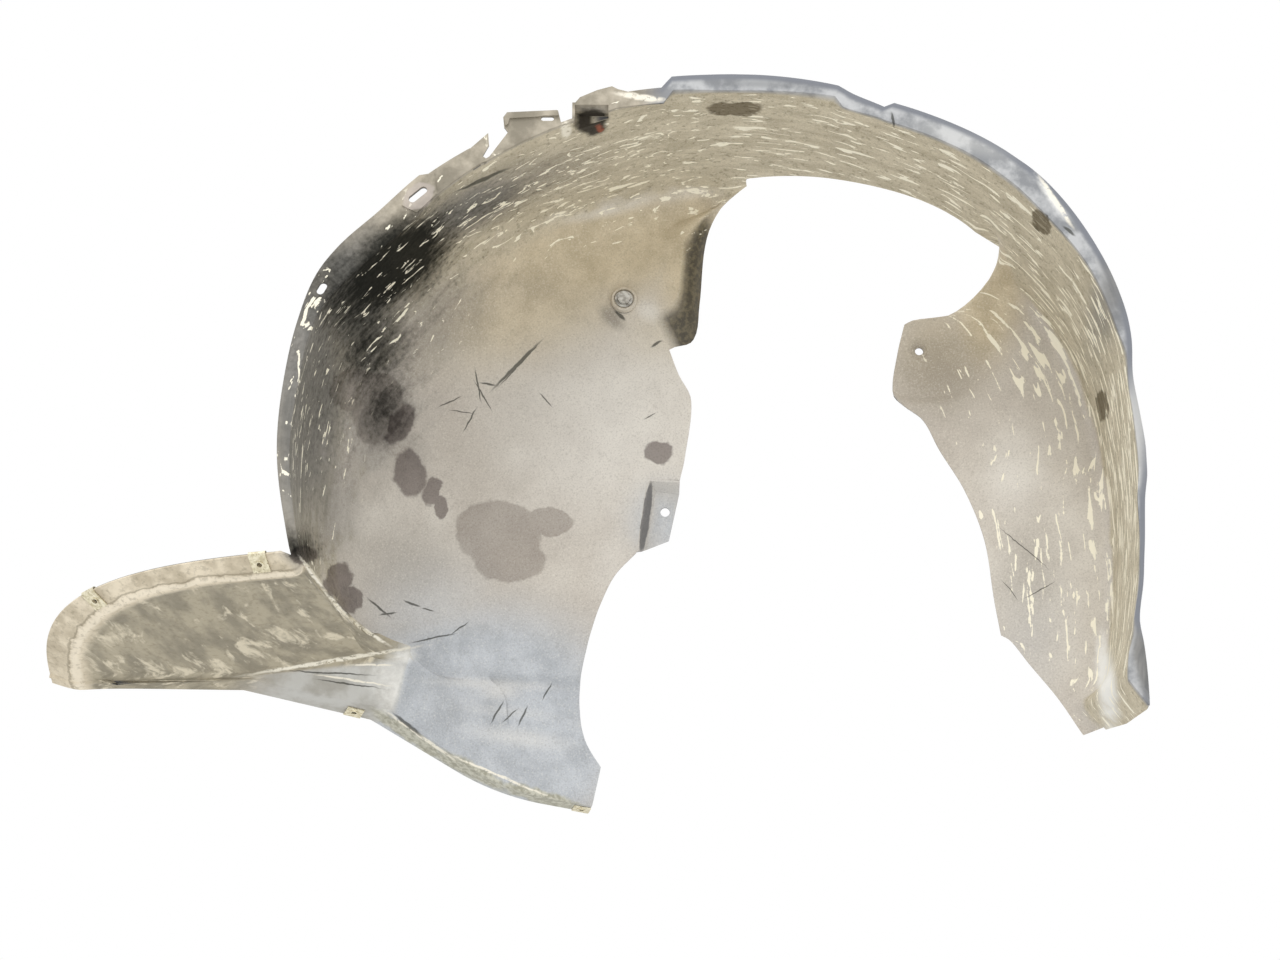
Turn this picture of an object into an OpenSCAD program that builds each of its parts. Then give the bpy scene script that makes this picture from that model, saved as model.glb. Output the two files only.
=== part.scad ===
// Front wheel arch liner of a passenger car, one thin moulding with five metal fasteners on it. X
// points to the rear of the car, Y inboard, Z up. The origin is the wheel axis in the plane of the
// fender lip.

/* [Arch] */
// Radius of the outer edge of the lip above the wheel axis
arch_radius = 381; // [372:1:390]
// Wall thickness of the moulding
wall = 2.6; // [2:0.1:3.2]
// Width of the flange that lies on the fender lip
lip_width = 15; // [13:1:17]
// Depth of the inner wall behind the wheel, from the lip
rear_depth = 195; // [185:1:205]
// Depth of the bowl in front of the wheel, from the lip
bowl_depth = 220; // [210:1:230]
// Depth at which the band is cut off above the strut
strut_gap_depth = 128; // [118:1:140]

/* [Tongue] */
// Length of the tongue, from the corner of the lip to its front end
tongue_length = 245; // [235:1:255]
// Depth of the tongue, from its outer corner to its front end
tongue_depth = 240; // [232:1:246]
// How far the tongue falls from its outer corner to its front end
tongue_drop = 48; // [42:1:54]
// Width of the raised rim along the tongue's outer edge
tongue_rim = 20; // [18:1:22]
// Width of the flange along the bottom of the lower panel
foot_flange = 24; // [23:1:27]

/* [Inner walls] */
// Depth of the step down to the bolting pad beside the wheel hub
hub_pad_step = 16; // [12:1:18]
// Diameter of the bolt hole in the pad beside the hub
hub_hole = 9; // [7:0.5:10]
// Depth of the step down to the round pad behind the wheel
strut_pad_step = 6; // [4:1:8]
// Diameter of the bolt hole in the round pad
strut_hole = 8; // [6:0.5:9]
// Diameter of the hole for the screw in the top of the bowl
screw_hole = 8; // [7.5:0.5:9]
// How far the turned edge of the bowl stands back
turned_edge = 13; // [9:1:15]

/* [Lip brackets] */
// Height of the slotted bracket above the band
bracket_height = 16; // [14:1:18]
// Depth of the pocket through the band
pocket_depth = 24; // [20:1:28]
// Wall of the pocket
pocket_wall = 2.4; // [2:0.1:3]

/* [Fasteners] */
// Thickness of the spring clips' sheet
clip_sheet = 0.9; // [0.7:0.1:1.1]
// Width of the spring clips
clip_width = 16; // [14:0.5:17]
// Length of the spring clips
clip_length = 18; // [16.5:0.5:18.5]
// Gap between a clip's leaf and the moulding
clip_clearance = 0.35; // [0.3:0.05:0.5]
// Diameter of the screw hole in a clip
clip_hole = 5; // [4:0.5:5.5]
// Width across the flats of the screw's hexagon
hex_width = 12; // [10:0.5:13]
// Diameter of the screw's washer
washer_diameter = 17; // [16:0.5:18]
// Diameter of the screw's shank
shank_diameter = 5.6; // [5:0.1:6]

/* [Hidden] */

// Station angles go round the arch from the rear foot, over the top, to the tongue's corner, and on
// along the tongue.
rear_end = -30.5;
corner_station = 193;
ridge_station = 225;
crease_station = 242;
last_station = 246;

// Where the lip steps down over the bowl, and where its flange is cut away between the two brackets
rear_step_station = 64.6;
step_station = 95.4;
gap_station = 104;
notch_station = 124.6;

// Where the rear inner wall ends above the wheel and the front one starts, how far the rear one slopes
// up to its end, and how much deeper the bowl's outer corner lies than its wall
rear_wall_end = 45.5;
front_wall_start = 87;
rear_wall_rise = 24;
bowl_swell = 18;

corner_x = -369;
corner_z = -80.5;
arch_scale = arch_radius / 381;
depth_scale = bowl_depth / 220;

// A table's rows are [station, value, sharp], with a smooth curve through them that may turn a corner
// at a sharp row.
function row_at(table, t) = min(len(table) - 2, max(0, len([for (row = table) if (row[0] <= t) 1]) - 1));
function chord(table, i) = (table[i + 1][1] - table[i][1]) / (table[i + 1][0] - table[i][0]);
function tangent(table, i, segment) =
    table[i][2] || i == 0 || i == len(table) - 1
        ? chord(table, segment)
        : (table[i + 1][1] - table[i - 1][1]) / (table[i + 1][0] - table[i - 1][0]);
function along(table, t) =
    let (
        i = row_at(table, t),
        span = table[i + 1][0] - table[i][0],
        s = min(1, max(0, (t - table[i][0]) / span)),
        m0 = tangent(table, i, i) * span,
        m1 = tangent(table, i + 1, i) * span
    )
    table[i][1] * (2 * s * s * s - 3 * s * s + 1) + m0 * (s * s * s - 2 * s * s + s)
        + table[i + 1][1] * (3 * s * s - 2 * s * s * s) + m1 * (s * s * s - s * s);
function unit(v) = v / max(1e-9, norm(v));
function mix(a, b, s) = a * (1 - s) + b * s;
function ease(lo, hi, t) = let (s = min(1, max(0, (t - lo) / (hi - lo)))) s * s * (3 - 2 * s);

// How far the lip stands out past arch_radius, and its flange's share of lip_width
LIP = [
    [rear_end, 49, false], [-28, 38.5, false], [-24, 22.5, false], [-21, 11, false], [-16, 5, false],
    [-12, 0.7, false], [-5, -3.3, false], [0, -0.8, false], [8, -1.5, false], [13, 0.7, false],
    [18, 10.7, false], [22, 16.5, false], [30, 23, false], [42, 28, false], [50, 24, false],
    [60, 14.5, false], [rear_step_station, 10, true], [rear_step_station + 1, 2.6, true],
    [70, 4, false], [72.5, 8, true], [82, 4, false], [90, 1.2, false], [step_station, 0.8, true],
    [step_station + 1.6, -9.3, true], [gap_station, -8, true], [gap_station + 1, -20.5, true],
    [notch_station, -20, true], [notch_station + 1, -3, true], [132.4, 0.5, true], [133.4, 5, true],
    [141, 7, false], [148, 15.5, false], [153, 18.5, false], [160, 14, false], [168, 8.2, false],
    [178, 3.3, false], [187, -2.2, false], [corner_station, -3.8, false]
];
LIP_SHARE = [
    [rear_end, 0.12, true], [-29, 1.3, true], [-26, 1.1, false], [-22, 0.35, false], [-13, 0.25, false],
    [0, 0.5, false], [10, 0.35, false], [15.5, 0.3, false], [20, 0.8, false], [30, 1.05, false],
    [40, 1.5, false], [53, 1.35, false], [rear_step_station, 1.3, true],
    [rear_step_station + 1, 0.8, true], [71, 1.1, true], [72.5, 0.75, true], [86, 1.1, false],
    [step_station, 0.9, true], [step_station + 1.6, 1.05, true], [gap_station, 0.95, true],
    [gap_station + 1, 0.17, true], [notch_station, 0.17, true], [notch_station + 1, 1.2, true],
    [132.4, 1.4, true], [133.4, 1.7, true], [142, 1.95, false], [149, 1.9, false], [153, 1.6, false],
    [158, 1, false], [170, 0.85, false], [182, 0.65, false], [corner_station, 0.5, false]
];
// How far the band lies outside arch_radius, past the first band_lead of its depth, where it meets the
// lip's steps
BAND = [
    [rear_end, 47, true], [-29, 23.5, false], [-26, 14.5, false], [-22, 7.5, false], [-13, -2.5, false],
    [0, -8, false], [10, -6, false], [20, 2, false], [30, 7, false], [40, 5, false], [53, 0, false],
    [64, -8, false], [75, -11, false], [86, -13.5, false], [95, -17, false], [104, -21.5, false],
    [115, -23, false], [135, -21, false], [142, -19, false], [149, -11, false], [156, -2, false],
    [170, -5.5, false], [182, -9.2, false], [corner_station, -11.3, false]
];
band_lead = 14;
// The corner between band and wall: its depth as a share of the wall's, how far it lies outside the
// band, and the reach of its fillet
CORNER_DEPTH = [
    [rear_end, 0.97, false], [5, 0.9, false], [14, 0.97, false], [34, 0.97, false], [41, 0.88, false],
    [45, 0.67, false], [50, 0.45, false], [78, 0.5, false], [85, 0.68, false], [89, 0.93, false],
    [94, 0.97, false], [113, 0.99, false], [corner_station, 1, false]
];
FILLET = [
    [rear_end, 20, false], [-20, 18, false], [-10, 12, false], [40, 14, false], [60, 14, false],
    [88, 24, false], [100, 36, false], [113, 52, false], [123, 80, false], [133, 112, false],
    [150, 140, false], [170, 150, false], [corner_station, 140, false]
];

// The free edge of the inner wall, [station, [x, z], sharp], seen along the axle
REAR_EDGE = [
    [rear_end, [340, -191], true], [-27.5, [319, -157], false], [-24, [294, -124], false],
    [-21.5, [279, -103], false], [-19, [269, -96], true], [-14, [264, -62], false], [-4, [257, -3], false],
    [5, [240, 47], false], [12, [218, 87], false], [18, [203, 118], false], [22, [184, 134], false],
    [25, [176, 150], false], [31, [182, 190], false], [34.5, [189, 218], true], [36.5, [200, 223], false],
    [39, [228, 226], false], [41.5, [254, 241], false], [43.5, [272, 260], false], [45.5, [282, 284], false]
];
FRONT_EDGE = [
    [87, [39, 363], false], [90, [17, 346], false], [94, [0, 317], false], [100, [-7, 252], false],
    [104, [-13, 216], false], [107, [-37, 201], true], [110, [-28, 176], false],
    [114, [-16, 150], false], [121, [-22, 95], false], [127, [-28, 67], false],
    [140, [-38.5, 11], true], [148, [-68, 2], true], [158, [-89, -20], false],
    [170, [-103, -48], false], [181, [-110, -68], false], [corner_station, [-115, -86], false],
    [212, [-121.5, -119], false], [ridge_station, [-122, -148], false], [231, [-117, -173], false],
    [237, [-102, -197], true], [crease_station, [-110, -236], false]
];
// Depth of the band's cut edge above the strut, past strut_gap_depth
GAP_EDGE = [
    [45.5, 34, false], [48, 14, false], [54, 8, false], [62, 12, false], [70, 26, false], [78, 44, false],
    [85, 64, false], [87, 74, false]
];
// How much deeper than bowl_depth the front wall lies at each height
BOWL_FALL = [
    [-235, 62, false], [-190, 66, false], [-150, 50, false], [-115, 42, false], [-50, 32, false],
    [0, 24, false], [67, 12, false], [150, 6, false], [216, 1, false], [250, -2, false],
    [317, -8, false], [365, -22, false]
];

function polar(r, a) = [r * cos(a), r * sin(a)];
function lip_radius(a) = arch_radius + along(LIP, a);
function fold_radius(a) = lip_radius(a) - lip_width * along(LIP_SHARE, a);
function band_radius(a) = arch_radius + along(BAND, a);
function bowl_y(z) = bowl_depth + along(BOWL_FALL, z / arch_scale);
function point(xz, y) = [xz[0], y, xz[1]];

// The outer edge of the tongue slants inboard and then turns round its front end. Turn runs from 0 to
// 90 degrees.
EDGE_SQUARENESS = 0.714;
EDGE_SLANT = 0.25;
function tongue_edge(turn) =
    let (
        out = pow(sin(turn), EDGE_SQUARENESS),
        back = (1 - EDGE_SLANT) * (1 - pow(cos(turn), EDGE_SQUARENESS)) + EDGE_SLANT * out
    )
    [corner_x * arch_scale - tongue_length * out, tongue_depth * back,
        corner_z * arch_scale - tongue_drop * pow(back, 1.5)];
function tongue_edge_way(turn) = unit(tongue_edge(min(90, turn + 1)) - tongue_edge(max(0, turn - 1)));
TONGUE_TURN = [
    [corner_station, 0, false], [194.2, 1.2, true], [195.9, 5.2, true], [199, 16.5, false],
    [205, 41, false], [215, 67.6, false], [ridge_station, 86, false], [crease_station, 89, false],
    [last_station, 90, false]
];

// The crease where the tongue turns up into the bowl, then the fold of the gusset
CREASE = [
    [corner_station, [-361, 5, -84], true], [195.5, [-346, 52, -93], false],
    [199, [-334, 88, -99], false], [207, [-318, 130, -105], false], [216, [-300, 166, -108], false],
    [ridge_station, [-278, 200, -108], true], [crease_station, [-297, 235, -155], true]
];
// The middle of the tongue, where the gusset's ridge runs out: its share of the way from the edge to
// the crease, and how far it then lies off that straight line in depth and in height
MIDDLE = [
    [corner_station, [0.9, 0, 0], false], [199, [0.62, 0, -2], false],
    [ridge_station, [0.57, -3, -16], true], [crease_station, [0.6, -25, 7.5], true],
    [last_station, [0.61, -27, 7], true]
];
TONGUE_CORNER = [
    [corner_station, [-361, 240, -100], false], [211, [-318, 246, -118], false],
    [ridge_station, [-262, 250, -124], false], [234, [-235, 262, -170], false],
    [crease_station, [-196, 268, -223], true]
];
// The way that the foot flange leaves the lower panel at its fold, its corner and its free edge
FOOT_WAY = [[-0.86, 1.2, -0.1], [-0.17, 1, 0], [-0.17, 1, 0]];
function on_foot(u) = foot_flange * max(0, u - crease_station) / (last_station - crease_station);
function scaled(p) = [p[0] * arch_scale, p[1] * depth_scale, p[2] * arch_scale];
function at_arch(outline) = [for (p = outline) p * arch_scale];

function wall_depth(u) =
    u <= rear_wall_end ? rear_depth - rear_wall_rise * ease(39, rear_wall_end, u)
    : u < front_wall_start ? strut_gap_depth + along(GAP_EDGE, u)
    : bowl_depth + bowl_swell * ease(150, corner_station, u);
function edge_point(u) =
    u <= rear_wall_end ? point(along(REAR_EDGE, u) * arch_scale, wall_depth(u))
    : u < front_wall_start ? point(polar(band_radius(u), u), wall_depth(u))
    : let (p = along(FRONT_EDGE, min(u, crease_station)) * arch_scale)
        point(p, bowl_y(p[1])) + FOOT_WAY[2] * on_foot(u);
function outer_point(u) =
    u <= corner_station ? point(polar(lip_radius(u), u), 0) : tongue_edge(along(TONGUE_TURN, u));
function fold_point(u) =
    u <= corner_station
        ? point(polar(fold_radius(u), u), 0)
        : scaled(along(CREASE, min(u, crease_station))) + FOOT_WAY[0] * on_foot(u);
// The rear foot's inner corner is cut short of its lip, and its bottom edge bows down.
foot_taper = 26;
foot_turn = 2.8;
foot_bow = 6;
function in_rear_foot(u) = 1 - ease(rear_end, -21, u);
function corner_point(u) =
    u <= corner_station
        ? point(
            polar(band_radius(u) - foot_taper * in_rear_foot(u), u + foot_turn * in_rear_foot(u)),
            wall_depth(u) * along(CORNER_DEPTH, u)
        )
        : scaled(along(TONGUE_CORNER, min(u, crease_station))) + FOOT_WAY[1] * on_foot(u);

// Shares of the way across the lip flange, and the bead inside the tongue's rim with the heights off
// the tongue's plane
FLANGE_STEPS = [0, 0.3, 0.5, 0.7, 0.85, 1];
BEAD_STEPS = [0, 8, 17];
BEAD_ROOM = 26;
TONGUE_RISE = [0, -9, -10, -5];

function plate_points(u) =
    let (
        outer = outer_point(u),
        fold = fold_point(u),
        lie = along(MIDDLE, u),
        middle = mix(fold, outer, 1 - lie[0]) + [0, lie[1], lie[2]],
        reach = norm(middle - outer),
        slope = (middle - outer) / reach,
        lean = max(0.4, norm(cross(tongue_edge_way(along(TONGUE_TURN, u)), slope))),
        rim = min(tongue_rim / lean, reach * 0.74),
        room = min(1, (reach - rim) / BEAD_ROOM),
        across = concat([0], [for (step = BEAD_STEPS) rim + step * room])
    )
    u <= corner_station
        ? [for (s = FLANGE_STEPS) mix(outer, fold, s)]
        : concat(
            [for (i = [0:3]) outer + slope * across[i]
                + [0, 0, TONGUE_RISE[i] * min(1, rim * lean / tongue_rim)
                    * (1 - 0.3 * ease(ridge_station, last_station, u))]],
            [middle, fold]
        );

FILLET_STEPS = 6;
WALL_STEPS = 6;
EDGE_STEPS = [37, 29, 16, 8, 0];
FILLET_REACH = 0.85;

function bend(a, b, c, s) = a * (1 - s) * (1 - s) + b * 2 * s * (1 - s) + c * s * s;
function wall_points(u) =
    let (
        fold = fold_point(u),
        corner = corner_point(u),
        edge = edge_point(u),
        lead = u <= corner_station ? point(polar(band_radius(u), u), band_lead) : mix(fold, corner, 0.12),
        fillet = u <= corner_station
            ? along(FILLET, u)
            : mix(140, 45, ease(corner_station, crease_station, u)),
        a = mix(corner, lead, min(FILLET_REACH, fillet / norm(lead - corner))),
        b = mix(corner, edge, min(FILLET_REACH, fillet / norm(edge - corner))),
        inward = (b - edge) / norm(b - edge),
        squeeze = min(1, norm(b - edge) / (EDGE_STEPS[0] * 1.6)),
        near = edge + inward * EDGE_STEPS[0] * squeeze,
        law = ease(front_wall_start, front_wall_start + 5, u) * (1 - ease(ridge_station, crease_station, u)),
        miss = (bowl_y(b[2]) - b[1]) * law,
        in_foot_bow = 1 - ease(rear_end, -28, u)
    )
    concat(
        [lead - [0, 0, foot_bow * 0.3 * in_foot_bow],
            mix(lead, a, 0.5) - [0, 0, foot_bow * in_foot_bow],
            a - [0, 0, foot_bow * 0.5 * in_foot_bow]],
        [for (i = [1:FILLET_STEPS]) bend(a, corner, b, i / FILLET_STEPS)],
        [for (i = [1:WALL_STEPS])
            let (s = i / WALL_STEPS, p = mix(b, near, s))
            p + [0, law * (bowl_y(p[2]) - p[1]) - miss * (1 - s) * (1 - s) + relief(u, p), 0]],
        [for (i = [1:len(EDGE_STEPS) - 1])
            let (p = edge + inward * EDGE_STEPS[i] * squeeze)
            p + [0, law * (bowl_y(p[2]) - p[1]) + relief(u, p) + turned_back(u) * EDGE_TURN[i], 0]]
    );

// The round pad behind the wheel, and the shallow channel across the lower panel
STRUT_PAD = [205, 218];
STRUT_PAD_RADIUS = 80;
CHANNEL = [-113, -124, -152, -166];
CHANNEL_DEPTH = 6;
EDGE_TURN = [0, 0, 0.12, 0.45, 1];
function relief(u, p) =
    u < rear_wall_end
        ? let (off = norm([p[0], p[2]] - STRUT_PAD * arch_scale))
            strut_pad_step * (1 - ease(40, rear_wall_end, u))
            * (1 - ease(STRUT_PAD_RADIUS - 5, STRUT_PAD_RADIUS + 5, off))
    : u > corner_station && u < crease_station
        ? CHANNEL_DEPTH * ease(CHANNEL[0], CHANNEL[1], p[2]) * (1 - ease(CHANNEL[2], CHANNEL[3], p[2]))
            * ease(-235, -200, p[0]) * (1 - ease(ridge_station + 6, crease_station, u))
    : 0;
function turned_back(u) = turned_edge * ease(90, 95, u) * (1 - ease(104.4, 106.6, u));

function section(u) = concat(plate_points(u), wall_points(u));

// Stations: each turn of the lip and of the free edge, with even steps between
function sorted(v) =
    len(v) < 2
        ? v
        : concat(sorted([for (x = v) if (x < v[0]) x]), [v[0]], sorted([for (x = v) if (x > v[0]) x]));
KEYS = sorted(concat(
    [for (row = concat(LIP, REAR_EDGE, FRONT_EDGE, TONGUE_TURN)) if (row[2]) row[0]],
    [rear_wall_end, front_wall_start, corner_station, ridge_station, crease_station, last_station]
));
station_step = 3.6;
tongue_step = 2.3;
STATIONS = concat(
    [for (i = [0:len(KEYS) - 2])
        let (
            inside_tongue = KEYS[i] >= corner_station && KEYS[i] < ridge_station,
            n = ceil((KEYS[i + 1] - KEYS[i]) / (inside_tongue ? tongue_step : station_step))
        )
        for (k = [0:n - 1]) mix(KEYS[i], KEYS[i + 1], k / n)],
    [last_station]
);

function quad_normal(g, i, j) = cross(g[i + 1][j + 1] - g[i][j], g[i][j + 1] - g[i + 1][j]);
// The offset away from the wheel that keeps the wall's thickness on both sides of a crease
function skin_offset(g, i, j) =
    let (
        ni = len(g) - 1,
        nj = len(g[0]) - 1,
        rows = [max(0, i - 1):min(ni - 1, i)],
        columns = [max(0, j - 1):min(nj - 1, j)],
        around = [for (a = rows, b = columns) unit(quad_normal(g, a, b))],
        total = [for (k = [0:2]) let (c = [for (n = around) n[k]]) c * [for (x = c) 1]],
        mean = unit(total),
        facing = [for (n = around) n * mean],
        share = facing * [for (x = facing) 1] / len(facing)
    )
    -mean * wall / max(0.62, share);

function halves(a, b, c, d) = [[a, b, c], [a, c, d]];
module sheet() {
    g = [for (u = STATIONS) section(u)];
    ni = len(g);
    nj = len(g[0]);
    inner = [for (row = g) each row];
    outer = [for (i = [0:ni - 1], j = [0:nj - 1]) g[i][j] + skin_offset(g, i, j)];
    n = ni * nj;
    function at(i, j) = i * nj + j;
    polyhedron(
        concat(outer, inner),
        concat(
            [for (i = [0:ni - 2], j = [0:nj - 2])
                each halves(at(i, j), at(i + 1, j), at(i + 1, j + 1), at(i, j + 1))],
            [for (i = [0:ni - 2], j = [0:nj - 2])
                each halves(n + at(i, j), n + at(i, j + 1), n + at(i + 1, j + 1), n + at(i + 1, j))],
            [for (i = [0:ni - 2])
                each halves(at(i, 0), n + at(i, 0), n + at(i + 1, 0), at(i + 1, 0))],
            [for (i = [0:ni - 2])
                each halves(at(i, nj - 1), at(i + 1, nj - 1), n + at(i + 1, nj - 1), n + at(i, nj - 1))],
            [for (j = [0:nj - 2])
                each halves(at(0, j), at(0, j + 1), n + at(0, j + 1), n + at(0, j))],
            [for (j = [0:nj - 2])
                each halves(at(ni - 1, j), n + at(ni - 1, j), n + at(ni - 1, j + 1), at(ni - 1, j + 1))]
        )
    );
}

// A flat plate in the plane of the lip, drawn in x and z
module plate(outline, from, to) {
    translate([0, to, 0])
    rotate([90, 0, 0])
    linear_extrude(to - from)
    polygon(outline);
}
// A straight slot cut along the axle
module slot(centre, length, width, turn) {
    translate([centre[0], 10, centre[1]])
    rotate([90, 0, 0])
    rotate(turn)
    linear_extrude(20)
    union() {
        square([length - width, width], center = true);
        for (s = [-1, 1])
            translate([s * (length - width) / 2, 0])
            circle(d = width, $fn = 32);
    }
}
// A true round hole along the axle
module axle_bore(xz, depth, d, length = 30) {
    translate([xz[0], depth + length / 2, xz[1]])
    rotate([90, 0, 0])
    cylinder(d = d, h = length, $fn = 48);
}
// A block whose two ends have the same number of corners, each corner at a depth past the bowl's wall
module block(front, front_past, back, back_past) {
    n = len(front);
    polyhedron(
        concat(
            [for (p = front) [p[0], bowl_y(p[1]) + front_past, p[1]]],
            [for (p = back) [p[0], bowl_y(p[1]) + back_past, p[1]]]
        ),
        concat(
            [for (i = [1:n - 2]) [0, i, i + 1]],
            [for (i = [1:n - 2]) [n, n + i + 1, n + i]],
            [for (i = [0:n - 1]) let (k = (i + 1) % n) [i, n + i, n + k, k]]
        )
    );
}

// The bolting pad beside the hub is a tray open on its two free sides.
HUB_PAD = at_arch([[-57, 71], [-27.5, 67], [-38.5, 11], [-68, 2]]);
HUB_PAD_DRAFT = 7;
HUB_HOLE_AT = [-41, 45] * arch_scale;
module hub_pad_gap() {
    cut = [HUB_PAD[0] + [-1, 1], [12, 68] * arch_scale, [-20, -12], HUB_PAD[3] + [-2.5, -14]];
    block(cut, -6, cut, 14);
}
module hub_pad_outside() {
    block(
        [HUB_PAD[0] + [-wall, wall], HUB_PAD[1] + [0.5, wall], HUB_PAD[2], HUB_PAD[3] + [-wall, -0.5]],
        0.3,
        [HUB_PAD[0] + [HUB_PAD_DRAFT - wall, wall - HUB_PAD_DRAFT], HUB_PAD[1] + [0, wall - HUB_PAD_DRAFT],
            HUB_PAD[2] + [1, 7], HUB_PAD[3] + [HUB_PAD_DRAFT - wall, 6]],
        hub_pad_step + wall
    );
}
module hub_pad_inside() {
    block(
        [HUB_PAD[0], [12, 66] * arch_scale, [-20, -12], HUB_PAD[3] + [-2, -14]],
        -2,
        [HUB_PAD[0] + [HUB_PAD_DRAFT, -HUB_PAD_DRAFT], [12, 57] * arch_scale, [-20, -12],
            HUB_PAD[3] + [HUB_PAD_DRAFT - 2, -14]],
        hub_pad_step
    );
}

// A raised ring round a hole in a wall that faces the wheel, with a flat seat inside it
module seat_ring(xz, depth, outer, height, seat, seat_height) {
    translate([xz[0], depth, xz[1]])
    rotate([-90, 0, 0])
    rotate_extrude($fn = 48)
    polygon([
        [0.1, wall - 0.5], [outer, wall - 0.5], [outer, 0.4], [outer - 1.5, -height], [seat + 1, -height],
        [seat, -seat_height], [0.1, -seat_height]
    ]);
}

STRUT_HOLE_AT = [202, 190] * arch_scale;
SCREW_AT = [-80.5, 250.7] * arch_scale;
RING_OUTER = 13;
RING_HEIGHT = 4.4;
SCREW_SEAT = 1.4;
screw_depth = bowl_y(SCREW_AT[1]) - SCREW_SEAT;

// The slotted bracket on the lip over the bowl, flat at the bottom and folded along its top and front edges
BRACKET = at_arch([
    [-207, 292], [-185.4, 323.8], [-189, 329], [-190, 339], [-186.6, 344], [-140, 346], [-137, 333]
]);
BRACKET_ROOT = [for (a = [112.5:2:124.5]) polar(fold_radius(a) + 1.2, a)];
bracket_top = 330 * arch_scale + bracket_height;
module bracket() {
    plate(concat(BRACKET_ROOT, [for (p = BRACKET) [p[0], min(p[1], bracket_top)]]), 0.4, 0.4 + wall);
    plate(concat(at_arch([[-139.4, 340], [-184, 337], [-185.5, 331], [-188.2, 329.6], [-189.2, 338.7]]),
        [[-186 * arch_scale, bracket_top - 3], [-140.9 * arch_scale, bracket_top - 0.7]]), -1.6, 1.2);
}
// The torn spike of flange left beside the bracket
module spike() {
    plate(
        concat(
            [polar(fold_radius(125.8) - 0.5, 125.8), polar(fold_radius(127) - 0.6, 127),
                polar(lip_radius(126.5) - 1.5, 126.5)],
            at_arch([[-203.5, 323], [-202.5, 310.7], [-211, 294]])
        ),
        0.5, 0.5 + wall
    );
}
// The raised seat round the slot at the end of the lip's dirty strip
STRIP_SLOT_AT = [-266, 260.5] * arch_scale;
STRIP_SLOT_TURN = 42;
STRIP_SEAT = at_arch([
    [-255.6, 280.6], [-252, 282.6], [-248.8, 261.6], [-266.5, 242.7], [-280.2, 249.7], [-276, 263.6]
]);
module strip_seat() {
    plate(STRIP_SEAT, -1.4, 1.2);
}

// The pocket is a box that stands out through the band, open to the front and to the wheel, under a
// hood of flange.
POCKET_FROM = -127 * arch_scale;
POCKET_TO = -91.5 * arch_scale;
POCKET_TOP = 354 * arch_scale;
POCKET_FLOOR = 320 * arch_scale;
pocket_inner_radius = fold_radius(110) + 1.9;
module pocket_gap() {
    translate([POCKET_FROM + pocket_wall, -5, POCKET_FLOOR])
    cube([POCKET_TO - POCKET_FROM - 2 * pocket_wall, pocket_depth + 5 - pocket_wall,
        POCKET_TOP - pocket_wall - POCKET_FLOOR]);
}
HOOD = at_arch([
    [-126.3, 351.2], [-120, 359.3], [-104.4, 366.5], [-90.7, 370.5], [-85.2, 367.5], [-74.2, 364.4],
    [-75, 357.5], [-89.5, 357.5], [-92.6, 350], [-126.3, 348.1]
]);
module pocket() {
    difference() {
        union() {
            translate([POCKET_FROM, 0.5, POCKET_FLOOR + 14])
            cube([POCKET_TO - POCKET_FROM, pocket_depth - 0.5, POCKET_TOP - POCKET_FLOOR - 14]);
            plate(HOOD, 0.4, 0.4 + wall);
        }
        pocket_gap();
        translate([0, -10, 0])
        rotate([-90, 0, 0])
        cylinder(r = pocket_inner_radius, h = 60, $fn = 180);
    }
}

// A spring clip's place on the sheet's edge: the middle of the edge, the way along it and the way into
// the sheet
function row_before(u) = len([for (s = STATIONS) if (s <= u) 1]) - 1;
function tongue_place(u) =
    let (i = row_before(u), a = section(STATIONS[i]), b = section(STATIONS[i + 1]))
    [mix(a[0], b[0], 0.5), b[0] - a[0], mix(a[1], b[1], 0.5) - mix(a[0], b[0], 0.5)];
function foot_place(column, s) =
    let (a = section(last_station), b = section(crease_station))
    [mix(a[column], a[column + 1], s), a[column + 1] - a[column],
        mix(b[column], b[column + 1], s) - mix(a[column], a[column + 1], s)];
PLACES = [tongue_place(195), tongue_place(206), foot_place(4, 0.85), foot_place(22, 0.7)];
clip_hole_from_edge = clip_length * 0.52;
// Moves a clip, drawn with Y into the sheet and Z away from the wheel, to its place on the edge
module on_edge(place) {
    z = unit(cross(place[2], place[1]));
    x = -unit(place[1]);
    y = cross(z, x);
    multmatrix([
        [x[0], y[0], z[0], place[0][0]],
        [x[1], y[1], z[1], place[0][1]],
        [x[2], y[2], z[2], place[0][2]]
    ])
    children();
}
clip_inside = wall / 2 + clip_clearance;
clip_outside = clip_inside + clip_sheet;
module clip_side(half, past) {
    circle(r = half, $fn = 48);
    translate([0, -half])
    square([past, 2 * half]);
}
module spring_clip() {
    collar = clip_hole / 2 + 1.4;
    color("#c9c1a4")
    translate([0, clip_clearance, wall / 2])
    difference() {
        union() {
            rotate([90, 0, 90])
            linear_extrude(clip_width, center = true)
            difference() {
                clip_side(clip_outside, clip_length);
                clip_side(clip_inside, clip_length + 1);
            }
            translate([0, clip_hole_from_edge, clip_inside + 0.2])
            cylinder(r = collar, h = 3, $fn = 48);
            translate([0, clip_hole_from_edge, -clip_outside - 0.5])
            cylinder(r = collar, h = 0.7, $fn = 48);
        }
        translate([0, clip_hole_from_edge, -10])
        cylinder(d = clip_hole, h = 20, $fn = 48);
    }
}
module tongue_clip_front() {
    on_edge(PLACES[1])
    spring_clip();
}
module tongue_clip_rear() {
    on_edge(PLACES[0])
    spring_clip();
}
module foot_clip_front() {
    on_edge(PLACES[2])
    spring_clip();
}
module foot_clip_rear() {
    on_edge(PLACES[3])
    spring_clip();
}

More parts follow.
